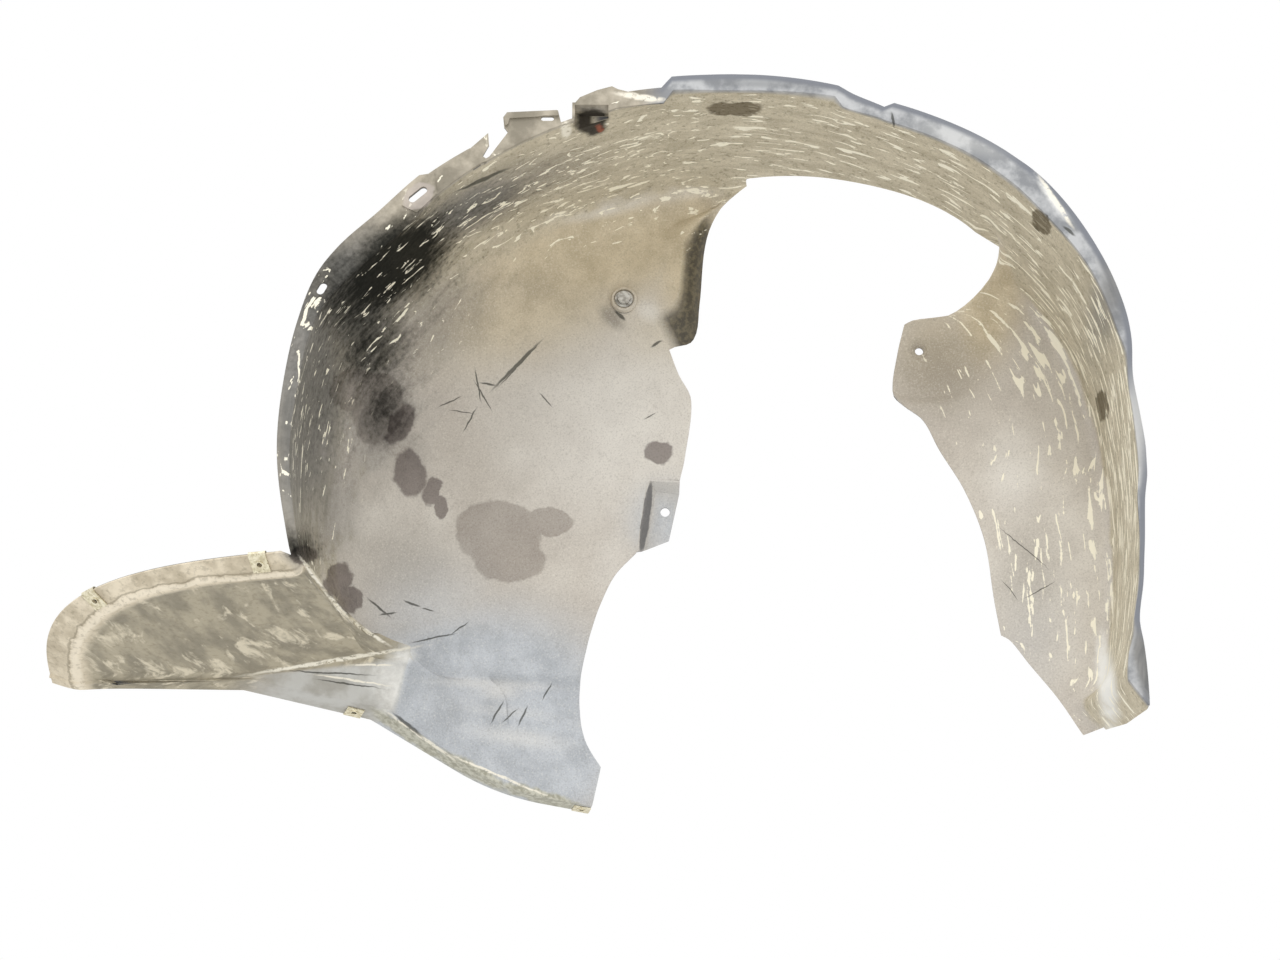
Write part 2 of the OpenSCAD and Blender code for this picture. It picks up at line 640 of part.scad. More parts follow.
// The flanged hexagon screw in the top of the bowl
SCREW_HEAD = 6;
SCREW_WASHER = 1.6;
SCREW_LENGTH = 17;
module bowl_screw() {
    color("#a9a9a6")
    translate([SCREW_AT[0], screw_depth, SCREW_AT[1]])
    rotate([90, 0, 0]) {
        cylinder(d = washer_diameter, h = SCREW_WASHER, $fn = 48);
        cylinder(d = hex_width / cos(30), h = SCREW_HEAD, $fn = 6);
        translate([0, 0, -SCREW_LENGTH])
        cylinder(d = shank_diameter, h = SCREW_LENGTH + 0.2, $fn = 48);
    }
}

module liner() {
    color("#9a958a")
    difference() {
        union() {
            difference() {
                sheet();
                hub_pad_gap();
                pocket_gap();
            }
            difference() {
                hub_pad_outside();
                hub_pad_inside();
            }
            seat_ring(SCREW_AT, bowl_y(SCREW_AT[1]), RING_OUTER, RING_HEIGHT,
                washer_diameter / 2 + 0.8, SCREW_SEAT);
            seat_ring(STRUT_HOLE_AT, rear_depth + strut_pad_step, strut_hole / 2 + 4, 1.6,
                strut_hole / 2 + 0.6, 0.5);
            bracket();
            spike();
            strip_seat();
            pocket();
        }
        axle_bore(SCREW_AT, bowl_y(SCREW_AT[1]), screw_hole);
        axle_bore(STRUT_HOLE_AT, rear_depth, strut_hole, 40);
        axle_bore(HUB_HOLE_AT, bowl_y(HUB_HOLE_AT[1]) + hub_pad_step, hub_hole);
        slot(STRIP_SLOT_AT, 20, 7, STRIP_SLOT_TURN);
        slot([-149.5, 337.5] * arch_scale, 12, 4.5, 0);
        slot([-350, 168.5] * arch_scale, 12, 7, 62);
        for (place = PLACES)
            on_edge(place)
            translate([0, clip_hole_from_edge + clip_clearance, -8])
            cylinder(d = clip_hole + 1.5, h = 20, $fn = 48);
    }
}

liner();
tongue_clip_front();
tongue_clip_rear();
foot_clip_front();
foot_clip_rear();
bowl_screw();
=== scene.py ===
"""Front wheel arch liner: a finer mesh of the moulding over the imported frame, and every piece's looks."""

import math

import bmesh
import bpy
import numpy as np
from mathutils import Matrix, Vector, kdtree


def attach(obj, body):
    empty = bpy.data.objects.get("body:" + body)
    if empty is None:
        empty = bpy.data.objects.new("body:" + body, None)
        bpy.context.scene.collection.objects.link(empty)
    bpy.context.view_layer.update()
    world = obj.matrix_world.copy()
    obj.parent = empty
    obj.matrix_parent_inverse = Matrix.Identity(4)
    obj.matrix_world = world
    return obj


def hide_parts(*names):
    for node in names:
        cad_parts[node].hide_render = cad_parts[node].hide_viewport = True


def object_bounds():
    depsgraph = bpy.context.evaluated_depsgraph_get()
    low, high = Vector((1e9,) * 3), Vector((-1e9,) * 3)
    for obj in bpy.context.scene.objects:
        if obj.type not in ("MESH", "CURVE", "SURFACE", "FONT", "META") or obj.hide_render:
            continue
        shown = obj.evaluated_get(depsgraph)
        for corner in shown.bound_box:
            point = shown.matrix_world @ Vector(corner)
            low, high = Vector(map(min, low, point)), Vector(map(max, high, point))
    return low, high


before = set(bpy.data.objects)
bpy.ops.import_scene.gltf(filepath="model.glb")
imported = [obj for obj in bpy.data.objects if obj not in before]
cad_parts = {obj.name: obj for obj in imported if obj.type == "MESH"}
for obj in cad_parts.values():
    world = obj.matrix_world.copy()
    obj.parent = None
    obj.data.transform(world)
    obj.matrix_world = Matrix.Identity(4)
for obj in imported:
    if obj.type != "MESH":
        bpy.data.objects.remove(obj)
cad_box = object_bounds()

# The part's own sizes, in mm, as the source has them
ARCH, WALL, LIP_WIDTH = 381, 2.6, 15
REAR_DEPTH, BOWL_DEPTH, GAP_DEPTH = 195, 220, 128
REAR_WALL_LIFT, BOWL_WALL_DROP = 24, 18
TONGUE_LENGTH, TONGUE_DEPTH, TONGUE_DROP, TONGUE_RIM, FOOT_FLANGE = 245, 240, 48, 20, 24
# The tongue's outer edge starts at this x and z, and the power makes its curve squarer than an ellipse
TONGUE_START, TONGUE_CURVE = (-369, -80.5), 0.714
# The corner at the rear wall's foot is drawn in, in mm, and turned on along the arch, in degrees
REAR_FOOT_IN, REAR_FOOT_TURN = 26, 2.8
# Stations run in degrees along the arch as far as the corner, and from there on along the tongue
REAR_END, CORNER, RIDGE, CREASE_AT, LAST = -30.5, 193, 225, 242, 246
REAR_WALL_END, FRONT_WALL_START = 45.5, 87

# Tables of (station, value, sharp): a smooth curve runs through them and turns a corner at a sharp row
LIP = [
    (-30.5, 49), (-28, 38.5), (-24, 22.5), (-21, 11), (-16, 5), (-12, 0.7), (-5, -3.3), (0, -0.8), (8, -1.5),
    (13, 0.7), (18, 10.7), (22, 16.5), (30, 23), (42, 28), (50, 24), (60, 14.5), (64.6, 10, 1),
    (65.6, 2.6, 1), (70, 4), (72.5, 8, 1), (82, 4), (90, 1.2), (95.4, 0.8, 1), (97, -9.3, 1), (104, -8, 1),
    (105, -20.5, 1), (124.6, -20, 1), (125.6, -3, 1), (132.4, 0.5, 1), (133.4, 5, 1), (141, 7), (148, 15.5),
    (153, 18.5), (160, 14), (168, 8.2), (178, 3.3), (187, -2.2), (193, -3.8),
]
LIP_SHARE = [
    (-30.5, 0.12, 1), (-29, 1.3, 1), (-26, 1.1), (-22, 0.35), (-13, 0.25), (0, 0.5), (10, 0.35), (15.5, 0.3),
    (20, 0.8), (30, 1.05), (40, 1.5), (53, 1.35), (64.6, 1.3, 1), (65.6, 0.8, 1), (71, 1.1, 1),
    (72.5, 0.75, 1), (86, 1.1), (95.4, 0.9, 1), (97, 1.05, 1), (104, 0.95, 1), (105, 0.17, 1),
    (124.6, 0.17, 1), (125.6, 1.2, 1), (132.4, 1.4, 1), (133.4, 1.7, 1), (142, 1.95), (149, 1.9), (153, 1.6),
    (158, 1), (170, 0.85), (182, 0.65), (193, 0.5),
]
BAND = [
    (-30.5, 47, 1), (-29, 23.5), (-26, 14.5), (-22, 7.5), (-13, -2.5), (0, -8), (10, -6), (20, 2), (30, 7),
    (40, 5), (53, 0), (64, -8), (75, -11), (86, -13.5), (95, -17), (104, -21.5), (115, -23), (135, -21),
    (142, -19), (149, -11), (156, -2), (170, -5.5), (182, -9.2), (193, -11.3),
]
CORNER_DEPTH = [
    (-30.5, 0.97), (5, 0.9), (14, 0.97), (34, 0.97), (41, 0.88), (45, 0.67), (50, 0.45), (78, 0.5),
    (85, 0.68), (89, 0.93), (94, 0.97), (113, 0.99), (193, 1),
]
FILLET = [
    (-30.5, 20), (-20, 18), (-10, 12), (40, 14), (60, 14), (88, 24), (100, 36), (113, 52), (123, 80),
    (133, 112), (150, 140), (170, 150), (193, 140),
]
REAR_EDGE = [
    (-30.5, (340, -191), 1), (-27.5, (319, -157)), (-24, (294, -124)), (-21.5, (279, -103)),
    (-19, (269, -96), 1), (-14, (264, -62)), (-4, (257, -3)), (5, (240, 47)), (12, (218, 87)),
    (18, (203, 118)), (22, (184, 134)), (25, (176, 150)), (31, (182, 190)), (34.5, (189, 218), 1),
    (36.5, (200, 223)), (39, (228, 226)), (41.5, (254, 241)), (43.5, (272, 260)), (45.5, (282, 284)),
]
FRONT_EDGE = [
    (87, (39, 363)), (90, (17, 346)), (94, (0, 317)), (100, (-7, 252)), (104, (-13, 216)),
    (107, (-37, 201), 1), (110, (-28, 176)), (114, (-16, 150)), (121, (-22, 95)), (127, (-28, 67)),
    (140, (-38.5, 11), 1), (148, (-68, 2), 1), (158, (-89, -20)), (170, (-103, -48)), (181, (-110, -68)),
    (193, (-115, -86)), (212, (-121.5, -119)), (225, (-122, -148)), (231, (-117, -173)),
    (237, (-102, -197), 1), (242, (-110, -236)),
]
GAP_EDGE = [
    (45.5, 34), (48, 14), (54, 8), (62, 12), (70, 26), (78, 44), (85, 64), (87, 74),
]
BOWL_FALL = [
    (-235, 62), (-190, 66), (-150, 50), (-115, 42), (-50, 32), (0, 24), (67, 12), (150, 6), (216, 1),
    (250, -2), (317, -8), (365, -22),
]
TONGUE_TURN = [
    (193, 0), (194.2, 1.2, 1), (195.9, 5.2, 1), (199, 16.5), (205, 41), (215, 67.6), (225, 86), (242, 89),
    (246, 90),
]
CREASE = [
    (193, (-361, 5, -84), 1), (195.5, (-346, 52, -93)), (199, (-334, 88, -99)), (207, (-318, 130, -105)),
    (216, (-300, 166, -108)), (225, (-278, 200, -108), 1), (242, (-297, 235, -155), 1),
]
MIDDLE = [
    (193, (0.9, 0, 0)), (199, (0.62, 0, -2)), (225, (0.57, -3, -16), 1), (242, (0.6, -25, 7.5), 1),
    (246, (0.61, -27, 7), 1),
]
TONGUE_CORNER = [
    (193, (-361, 240, -100)), (211, (-318, 246, -118)), (225, (-262, 250, -124)), (234, (-235, 262, -170)),
    (242, (-196, 268, -223), 1),
]
# Which way fold, corner and edge run on along the foot flange
FOOT_WAY = [np.array(v) for v in ((-0.86, 1.2, -0.1), (-0.17, 1, 0), (-0.17, 1, 0))]


def chord(a, b):
    return (np.array(b[1], float) - np.array(a[1], float)) / (b[0] - a[0])


def tangent(table, i, segment):
    if len(table[i]) > 2 or i == 0 or i == len(table) - 1:
        return chord(table[segment], table[segment + 1])
    return chord(table[i - 1], table[i + 1])


def along(table, t):
    i = min(len(table) - 2, max(0, sum(1 for row in table if row[0] <= t) - 1))
    span = table[i + 1][0] - table[i][0]
    s = min(1.0, max(0.0, (t - table[i][0]) / span))
    a, b = np.array(table[i][1], float), np.array(table[i + 1][1], float)
    m0, m1 = tangent(table, i, i) * span, tangent(table, i + 1, i) * span
    near = a * (2 * s**3 - 3 * s**2 + 1) + m0 * (s**3 - 2 * s**2 + s)
    return near + b * (3 * s**2 - 2 * s**3) + m1 * (s**3 - s**2)


def mix(a, b, s):
    return a * (1 - s) + b * s


def ease(lo, hi, t):
    """0 at lo, 1 at hi and smooth between, for a number or an array."""
    s = np.clip((t - lo) / (hi - lo), 0, 1)
    return s * s * (3 - 2 * s)


def polar(r, a):
    return np.array([r * math.cos(math.radians(a)), r * math.sin(math.radians(a))])


def norm(v, axis=None):
    return np.linalg.norm(v, axis=axis)


def unit(v):
    return v / max(1e-9, norm(v))


def lip_radius(a):
    return ARCH + along(LIP, a)


def fold_radius(a):
    return lip_radius(a) - LIP_WIDTH * along(LIP_SHARE, a)


def band_radius(a):
    return ARCH + along(BAND, a)


def bowl_y(z):
    return BOWL_DEPTH + along(BOWL_FALL, z)


def point(xz, y):
    return np.array([xz[0], y, xz[1]])


def tongue_edge(turn):
    out = math.sin(math.radians(turn)) ** TONGUE_CURVE
    back = 0.75 * (1 - math.cos(math.radians(turn)) ** TONGUE_CURVE) + 0.25 * out
    x, z = TONGUE_START
    return np.array([x - TONGUE_LENGTH * out, TONGUE_DEPTH * back, z - TONGUE_DROP * back**1.5])


def on_foot(u):
    return FOOT_FLANGE * max(0.0, u - CREASE_AT) / (LAST - CREASE_AT)


def in_rear_foot(u):
    return 1 - ease(REAR_END, -21, u)


def wall_depth(u):
    if u <= REAR_WALL_END:
        return REAR_DEPTH - REAR_WALL_LIFT * ease(39, REAR_WALL_END, u)
    if u < FRONT_WALL_START:
        return GAP_DEPTH + along(GAP_EDGE, u)
    return BOWL_DEPTH + BOWL_WALL_DROP * ease(150, CORNER, u)


def edge_point(u):
    if u <= REAR_WALL_END:
        return point(along(REAR_EDGE, u), wall_depth(u))
    if u < FRONT_WALL_START:
        return point(polar(band_radius(u), u), wall_depth(u))
    p = along(FRONT_EDGE, min(u, CREASE_AT))
    return point(p, bowl_y(p[1])) + FOOT_WAY[2] * on_foot(u)


def fold_point(u):
    if u <= CORNER:
        return point(polar(fold_radius(u), u), 0)
    return along(CREASE, min(u, CREASE_AT)) + FOOT_WAY[0] * on_foot(u)


def corner_point(u):
    if u <= CORNER:
        foot = in_rear_foot(u)
        xz = polar(band_radius(u) - REAR_FOOT_IN * foot, u + REAR_FOOT_TURN * foot)
        return point(xz, wall_depth(u) * along(CORNER_DEPTH, u))
    return along(TONGUE_CORNER, min(u, CREASE_AT)) + FOOT_WAY[1] * on_foot(u)


# How many steps the mesh takes between neighbouring points of a section
PLATE_STEPS = (2, 2, 3, 7, 7)
LEAD_STEPS = (2, 3, 3)
FILLET_STEPS = 14
WALL_STEPS = 24
# How far apart the sections are along the arch and on the foot
STATION_STEP, FOOT_STEP = 0.8, 0.5
# Points across the lip flange, as shares of the way from its edge to its fold
LIP_POINTS = (0, 0.3, 0.5, 0.7, 0.85, 1)
# The tongue's bead: its room, where its two points lie past the rim, and the heights of edge, rim and bead
BEAD_ROOM, BEAD_MIDDLE, BEAD_END = 26, 8, 17
BEAD_LEVELS = (0, -9, -10, -5)
# Where the band leaves the fold: its depth on the arch, and its share of the way to the corner on the tongue
LEAD_DEPTH, LEAD_SHARE = 14, 0.12
# The fillet's length from the tongue's corner to the crease, and the most of a side that a fillet may take
TONGUE_FILLET, FILLET_LIMIT = (140, 45), 0.85
# Distances from a wall's cut edge, the share of the turned edge at each, and its depth
EDGE_STEPS = (37, 29, 22, 16, 12, 8, 4, 0)
EDGE_TURN = (0, 0, 0.05, 0.12, 0.26, 0.45, 0.72, 1)
TURNED_DEPTH = 13
# A wall shorter than this many times the edge's steps squeezes them
EDGE_SHARE = 1.6
# How far the sheet bows down between the fold and the corner at the rear end
END_BOW = (1.8, 6, 3)
# The round pad on the rear wall: its middle in x and z, its relief and the radii over which it fades
PAD = (205.0, 218.0)
PAD_RELIEF, PAD_FADE = 6, (75, 85)
# The part of the lower panel that is set back: by how much, and where it begins and ends in z and begins in x
PANEL_RELIEF, PANEL_TOP, PANEL_BOTTOM, PANEL_SIDE = 6, (-113, -124), (-152, -166), (-235, -200)


def plate_points(u):
    fold = fold_point(u)
    if u <= CORNER:
        outer = point(polar(lip_radius(u), u), 0)
        return [mix(outer, fold, s) for s in LIP_POINTS]
    turn = along(TONGUE_TURN, u)
    outer = tongue_edge(turn)
    way = unit(tongue_edge(min(90, turn + 1)) - tongue_edge(max(0, turn - 1)))
    share, dy, dz = along(MIDDLE, u)
    middle = mix(fold, outer, 1 - share) + np.array([0, dy, dz])
    reach = norm(middle - outer)
    slope = (middle - outer) / reach
    lean = max(0.4, norm(np.cross(way, slope)))
    rim = min(TONGUE_RIM / lean, reach * 0.74)
    room = min(1, (reach - rim) / BEAD_ROOM)
    across = [0, rim, rim + BEAD_MIDDLE * room, rim + BEAD_END * room]
    drop = min(1, rim * lean / TONGUE_RIM) * (1 - 0.3 * ease(RIDGE, LAST, u))
    levels = [np.array([0, 0, level * drop]) for level in BEAD_LEVELS]
    return [outer + slope * step + level for step, level in zip(across, levels)] + [middle, fold]


def relief(u, p):
    """How far a point of a wall is set back from the wheel."""
    if u < REAR_WALL_END:
        off = math.hypot(p[0] - PAD[0], p[2] - PAD[1])
        return PAD_RELIEF * (1 - ease(40, REAR_WALL_END, u)) * (1 - ease(*PAD_FADE, off))
    if CORNER < u < CREASE_AT:
        back = PANEL_RELIEF * ease(*PANEL_TOP, p[2]) * (1 - ease(*PANEL_BOTTOM, p[2]))
        return back * ease(*PANEL_SIDE, p[0]) * (1 - ease(RIDGE + 6, CREASE_AT, u))
    return 0.0


def bend(a, b, c, s):
    return a * (1 - s) ** 2 + b * 2 * s * (1 - s) + c * s * s


def wall_points(u):
    fold, corner, edge = fold_point(u), corner_point(u), edge_point(u)
    if u <= CORNER:
        lead = point(polar(band_radius(u), u), LEAD_DEPTH)
        fillet = along(FILLET, u)
    else:
        lead = mix(fold, corner, LEAD_SHARE)
        fillet = mix(*TONGUE_FILLET, ease(CORNER, CREASE_AT, u))
    a = mix(corner, lead, min(FILLET_LIMIT, fillet / norm(lead - corner)))
    b = mix(corner, edge, min(FILLET_LIMIT, fillet / norm(edge - corner)))
    inward = unit(b - edge)
    squeeze = min(1, norm(b - edge) / (EDGE_STEPS[0] * EDGE_SHARE))
    near = edge + inward * EDGE_STEPS[0] * squeeze
    law = ease(FRONT_WALL_START, FRONT_WALL_START + 5, u) * (1 - ease(RIDGE, CREASE_AT, u))
    miss = (bowl_y(b[2]) - b[1]) * law
    bow = 1 - ease(REAR_END, -28, u)
    turned = TURNED_DEPTH * ease(90, 95, u) * (1 - ease(104.4, 106.6, u))
    up = np.array([0, 0, 1.0])
    inboard = np.array([0, 1.0, 0])
    points = [p - up * depth * bow for p, depth in zip((lead, mix(lead, a, 0.5), a), END_BOW)]
    points += [bend(a, corner, b, i / FILLET_STEPS) for i in range(1, FILLET_STEPS + 1)]
    for i in range(1, WALL_STEPS + 1):
        s = i / WALL_STEPS
        p = mix(b, near, s)
        points.append(p + inboard * (law * (bowl_y(p[2]) - p[1]) - miss * (1 - s) ** 2 + relief(u, p)))
    for step, turn in list(zip(EDGE_STEPS, EDGE_TURN))[1:]:
        p = edge + inward * step * squeeze
        points.append(p + inboard * (law * (bowl_y(p[2]) - p[1]) + relief(u, p) + turned * turn))
    return points


def split(points, steps):
    out = []
    for a, b, n in zip(points, points[1:], steps):
        out += [mix(a, b, k / n) for k in range(n)]
    return out


# Over these stretches the walls run out in a straight line to the cut above the strut
RUN_OUTS = ((REAR_WALL_END, 48.7), (84.1, FRONT_WALL_START))


def section(u):
    for start, end in RUN_OUTS:
        if start < u < end:
            share = (u - start) / (end - start)
            return [mix(a, b, share) for a, b in zip(section(start), section(end))]
    plate, wall = plate_points(u), wall_points(u)
    return split(plate, PLATE_STEPS) + split([plate[-1]] + wall[:3], LEAD_STEPS) + wall[2:]


def stations():
    sharp = {row[0] for table in (LIP, REAR_EDGE, FRONT_EDGE, TONGUE_TURN) for row in table if len(row) > 2}
    keys = sorted(sharp | {REAR_WALL_END, FRONT_WALL_START, CORNER, RIDGE, CREASE_AT, LAST})
    out = []
    for a, b in zip(keys, keys[1:]):
        n = math.ceil((b - a) / (STATION_STEP if a < RIDGE else FOOT_STEP))
        out += [mix(a, b, k / n) for k in range(n)]
    return out + [keys[-1]]


FOLD_COLUMN = sum(PLATE_STEPS)
BAND_COLUMN = FOLD_COLUMN + sum(LEAD_STEPS)
WALL_COLUMN = BAND_COLUMN + FILLET_STEPS
US = stations()
grid = np.array([section(u) for u in US])
NI, NJ = grid.shape[:2]

# The bead inside the tongue's rim is round, so its columns are smoothed and the sharp creases left alone
BEAD_PASSES = 6
bead = slice(1, sum(PLATE_STEPS[:4]) - 1)
for _ in range(BEAD_PASSES):
    smooth = grid.copy()
    smooth[:, bead] = (grid[:, :-2] + 2 * grid[:, 1:-1] + grid[:, 2:])[:, :bead.stop - 1] / 4
    grid = smooth

normals = np.zeros_like(grid)
quad = np.cross(grid[1:, 1:] - grid[:-1, :-1], grid[:-1, 1:] - grid[1:, :-1])
quad /= np.maximum(1e-9, norm(quad, axis=2))[..., None]
AREAS = [(slice(di, NI - 1 + di), slice(dj, NJ - 1 + dj)) for di in (0, 1) for dj in (0, 1)]
for area in AREAS:
    normals[area] += quad
mean = normals / np.maximum(1e-9, norm(normals, axis=2))[..., None]
share = np.zeros((NI, NJ))
count = np.zeros((NI, NJ))
for area in AREAS:
    share[area] += (quad * mean[area]).sum(axis=2)
    count[area] += 1
share /= count
# At a crease the outer skin lies further out, so that the wall keeps its thickness, but only up to a limit
CREASE_LIMIT = 0.62
outer_grid = grid - mean * (WALL / np.maximum(CREASE_LIMIT, share))[..., None]

# Where the dirt, painted shade and painted highlights lie in the photograph's view, in its pixels: centre,
# two radii, turn and strength
SOOT = [
    (393, 266, 66, 32, -40, 1.35), (352, 300, 48, 60, -40, 0.85), (372, 345, 42, 60, 10, 0.8),
    (384, 405, 30, 46, 0, 0.72), (330, 380, 50, 110, 8, 0.45), (470, 214, 84, 16, -24, 0.5),
    (300, 548, 22, 18, 0, 0.8), (345, 596, 12, 24, 20, 0.35), (440, 300, 70, 40, -35, 0.3),
    (425, 376, 18, 10, -50, 0.4), (376, 392, 30, 44, 8, 0.55),
]
# Darker grey patches: partly painted shade, where the bowl's left edge turns away and on the rear lip, partly
# grey unwashed plastic
GREY_AND_SHADE = [
    (306, 400, 40, 150, 4, 1), (322, 500, 44, 70, 0, 0.6), (350, 300, 60, 80, 0, 0.8),
    (430, 310, 60, 60, 0, 0.4), (370, 430, 60, 70, 0, 0.5), (1144, 664, 9, 34, -12, 1),
    (1106, 300, 18, 60, 12, 0.6), (470, 205, 70, 22, -28, 0.7),
]
TAN = [
    (600, 250, 150, 55, -14, 1), (540, 300, 130, 60, -20, 0.8), (690, 250, 40, 80, 0, 1),
    (660, 330, 60, 40, 0, 0.5), (990, 300, 34, 70, 15, 1), (940, 350, 60, 60, 0, 0.6),
]
FLECKS = [
    (760, 130, 160, 55, 0, 0.9), (900, 150, 110, 55, 20, 0.95), (640, 170, 110, 60, -10, 0.9),
    (540, 190, 110, 40, -20, 1), (1000, 220, 70, 60, 40, 1.05), (1060, 330, 70, 90, 60, 1.2),
    (1120, 480, 46, 190, 0, 1.25), (1110, 640, 50, 110, 0, 1), (1040, 560, 70, 150, -10, 0.75),
    (320, 300, 40, 60, 20, 0.7), (310, 420, 40, 120, 0, 0.65), (400, 290, 80, 60, -30, 0.6),
    (720, 190, 60, 16, 0, 1.1), (960, 200, 30, 16, 30, 1.2), (1070, 430, 40, 70, 0, 0.95),
    (600, 230, 60, 20, -15, 0.7),
]
COOL = [
    (480, 700, 120, 80, 0, 1), (520, 760, 90, 60, 0, 1), (430, 620, 80, 70, 0, 0.45),
    (1030, 640, 60, 80, 0, 0.3), (390, 688, 30, 30, 0, 0.8), (665, 520, 40, 40, 0, 0.6),
]
# Painted shade: darker patches where shade falls, on the bowl's left side, the band's top, the lip, and round
# the screw and strut seats
PAINTED_SHADE = [
    (340, 520, 50, 80, 0, 0.3), (430, 330, 80, 50, -30, 0.5), (940, 370, 50, 50, 0, 0.6),
    (400, 555, 56, 46, 0, 0.5), (550, 172, 64, 22, -16, 0.6), (478, 208, 60, 20, -26, 0.9),
    (535, 178, 50, 24, -20, 0.6), (1030, 570, 44, 60, 0, 0.5), (470, 700, 60, 40, 0, 0.3),
    (400, 160, 30, 60, 45, 0.5), (1110, 300, 20, 50, 15, 0.5), (760, 84, 60, 5, 2, 0.5),
    (919, 349, 12, 12, 0, 0.7), (530, 290, 60, 30, -20, 0.35), (612, 318, 14, 7, 40, 0.9),
]
# Mostly painted highlights, where crease slopes, folds, the lip and the bowl's middle face the light; on the
# tongue they also lift the pale mud smears
PALE_AND_HIGHLIGHTS = [
    (600, 430, 120, 130, 0, 0.6), (490, 684, 80, 7, 3, 0.6), (520, 738, 66, 12, 8, 0.6),
    (610, 560, 30, 60, 15, 0.5), (690, 190, 60, 12, -10, 0.6), (640, 320, 30, 14, 0, 0.4),
    (960, 140, 70, 12, 20, 0.5), (1135, 430, 12, 60, 0, 0.8), (1015, 470, 40, 60, 0, 0.6),
    (1060, 610, 40, 60, 0, 0.3), (600, 205, 60, 12, -12, 1), (140, 668, 90, 10, 2, 0.6),
    (260, 645, 50, 12, -16, 0.6), (110, 640, 40, 10, 0, 0.5), (510, 712, 60, 8, 5, 0.5),
    (450, 600, 60, 40, 0, 0.4), (500, 712, 10, 30, 10, 0.4), (648, 312, 16, 12, 30, 0.7),
    (500, 690, 24, 12, 0, 0.7),
]
WHITE = [
    (1107, 688, 9, 50, -6, 1), (390, 682, 12, 32, 12, 1), (403, 655, 14, 10, 0, 0.8),
    (600, 92, 12, 6, 0, 0.4), (350, 672, 50, 12, 4, 0.35), (1050, 196, 26, 4, 56, 0.8),
]
# Places that are the wheel's side, whatever way they lean: the tongue's crease and its lower edge
WHEEL_SIDE = [(330, 600, 50, 24, 42, 3), (385, 645, 40, 18, 30, 3), (150, 682, 120, 8, 1, 3)]
# Dark stains with a crisp edge: centre, two radii and turn
BROAD_STAINS = [
    (500, 535, 42, 34, 0), (510, 560, 36, 22, 0), (548, 522, 24, 15, 0), (480, 530, 24, 26, 0),
    (378, 408, 25, 36, 10), (356, 390, 26, 22, 0),
]
STAINS = [
    (410, 473, 16, 24, -15), (432, 492, 9, 15, 20), (441, 507, 8, 12, 0), (658, 453, 14, 12, 0),
    (338, 580, 13, 18, 20), (350, 600, 12, 14, 30), (400, 425, 12, 22, 30), (303, 555, 14, 9, 0),
]
DEEP_STAINS = [(735, 109, 27, 7, 0), (1041, 222, 14, 8, 58), (1102, 406, 6, 15, -5)]
# The pad's side wall, in painted shade
PAD_SHADE = [(646, 517, 4, 35, 8)]
# The strip of dried mud along the foot's outer edge
FOOT_STRIP = [(410, 736, 44, 7, 34), (470, 770, 44, 8, 27), (540, 797, 48, 7, 17)]
# Black scratches and slits, thin along their length: centre, half length, half width and turn
SCRATCHES = [
    (516, 366, 32, 1.6, -45), (521, 363, 30, 0.8, -47), (478, 385, 16, 0.8, 80), (483, 396, 16, 0.7, 60),
    (470, 420, 13, 0.8, -60), (462, 412, 12, 0.6, 10), (450, 402, 12, 0.7, -25), (488, 384, 8, 1, 10),
    (546, 400, 9, 0.7, 50), (379, 608, 14, 1.2, 40), (388, 614, 8, 1, -10), (412, 604, 8, 1.2, 20),
    (434, 638, 22, 0.8, -12), (460, 628, 10, 0.7, -35), (497, 712, 12, 1, -60), (523, 716, 10, 1, -65),
    (510, 716, 9, 0.8, -40), (547, 692, 9, 0.8, -60), (428, 610, 6, 0.7, 10), (1024, 548, 30, 0.5, 40),
    (1040, 590, 16, 0.5, -30), (1010, 590, 12, 0.5, 50), (482, 180, 28, 1.6, -24), (408, 725, 18, 1.8, 38),
    (893, 120, 7, 1.4, 80), (1069, 231, 7, 1.6, 40), (330, 673, 40, 0.8, 3), (349, 684, 30, 0.8, 8),
    (650, 416, 6, 0.6, -30), (620, 316, 7, 1.6, 42), (656, 344, 6, 1.2, -30),
]
# Pale ridges, partly painted highlights where a fold catches the light and partly dried mud: centre, half
# length, half width and turn
LIT_RIDGES_AND_MUD = [
    (331, 661, 80, 1.9, -9.4), (352, 680, 35, 1, 8.5), (371, 665, 20, 0.9, 0), (312, 573, 18, 2.2, 52),
    (338, 607, 20, 2, 48), (368, 632, 24, 1.8, 33), (422, 737, 40, 1.5, 35), (500, 776, 50, 1.3, 23),
    (1056, 202, 28, 2.2, 57), (566, 130, 5, 8, 0), (640, 97, 24, 3, 8),
]
RUST_SPOT = (600, 128, 4, 3, 0)
# Painted shadow inside the pocket under its hood
POCKET_SHADE = (591, 121, 16, 14, 0)
SLOT_SEAT = (418, 196, 17, 11, -35)


def solid(name, verts, faces):
    """A closed mesh object from points in mm."""
    mesh = bpy.data.meshes.new(name)
    mesh.from_pydata([tuple(float(x) / 1000 for x in v) for v in verts], [], faces)
    bm = bmesh.new()
    bm.from_mesh(mesh)
    bmesh.ops.recalc_face_normals(bm, faces=bm.faces)
    bm.to_mesh(mesh)
    bm.free()
    obj = bpy.data.objects.new(name, mesh)
    bpy.context.scene.collection.objects.link(obj)
    return obj


skins = np.concatenate([grid.reshape(-1, 3), outer_grid.reshape(-1, 3)])
# How far the cut edge of the sheet is rounded out
EDGE_ROUND = 0.35


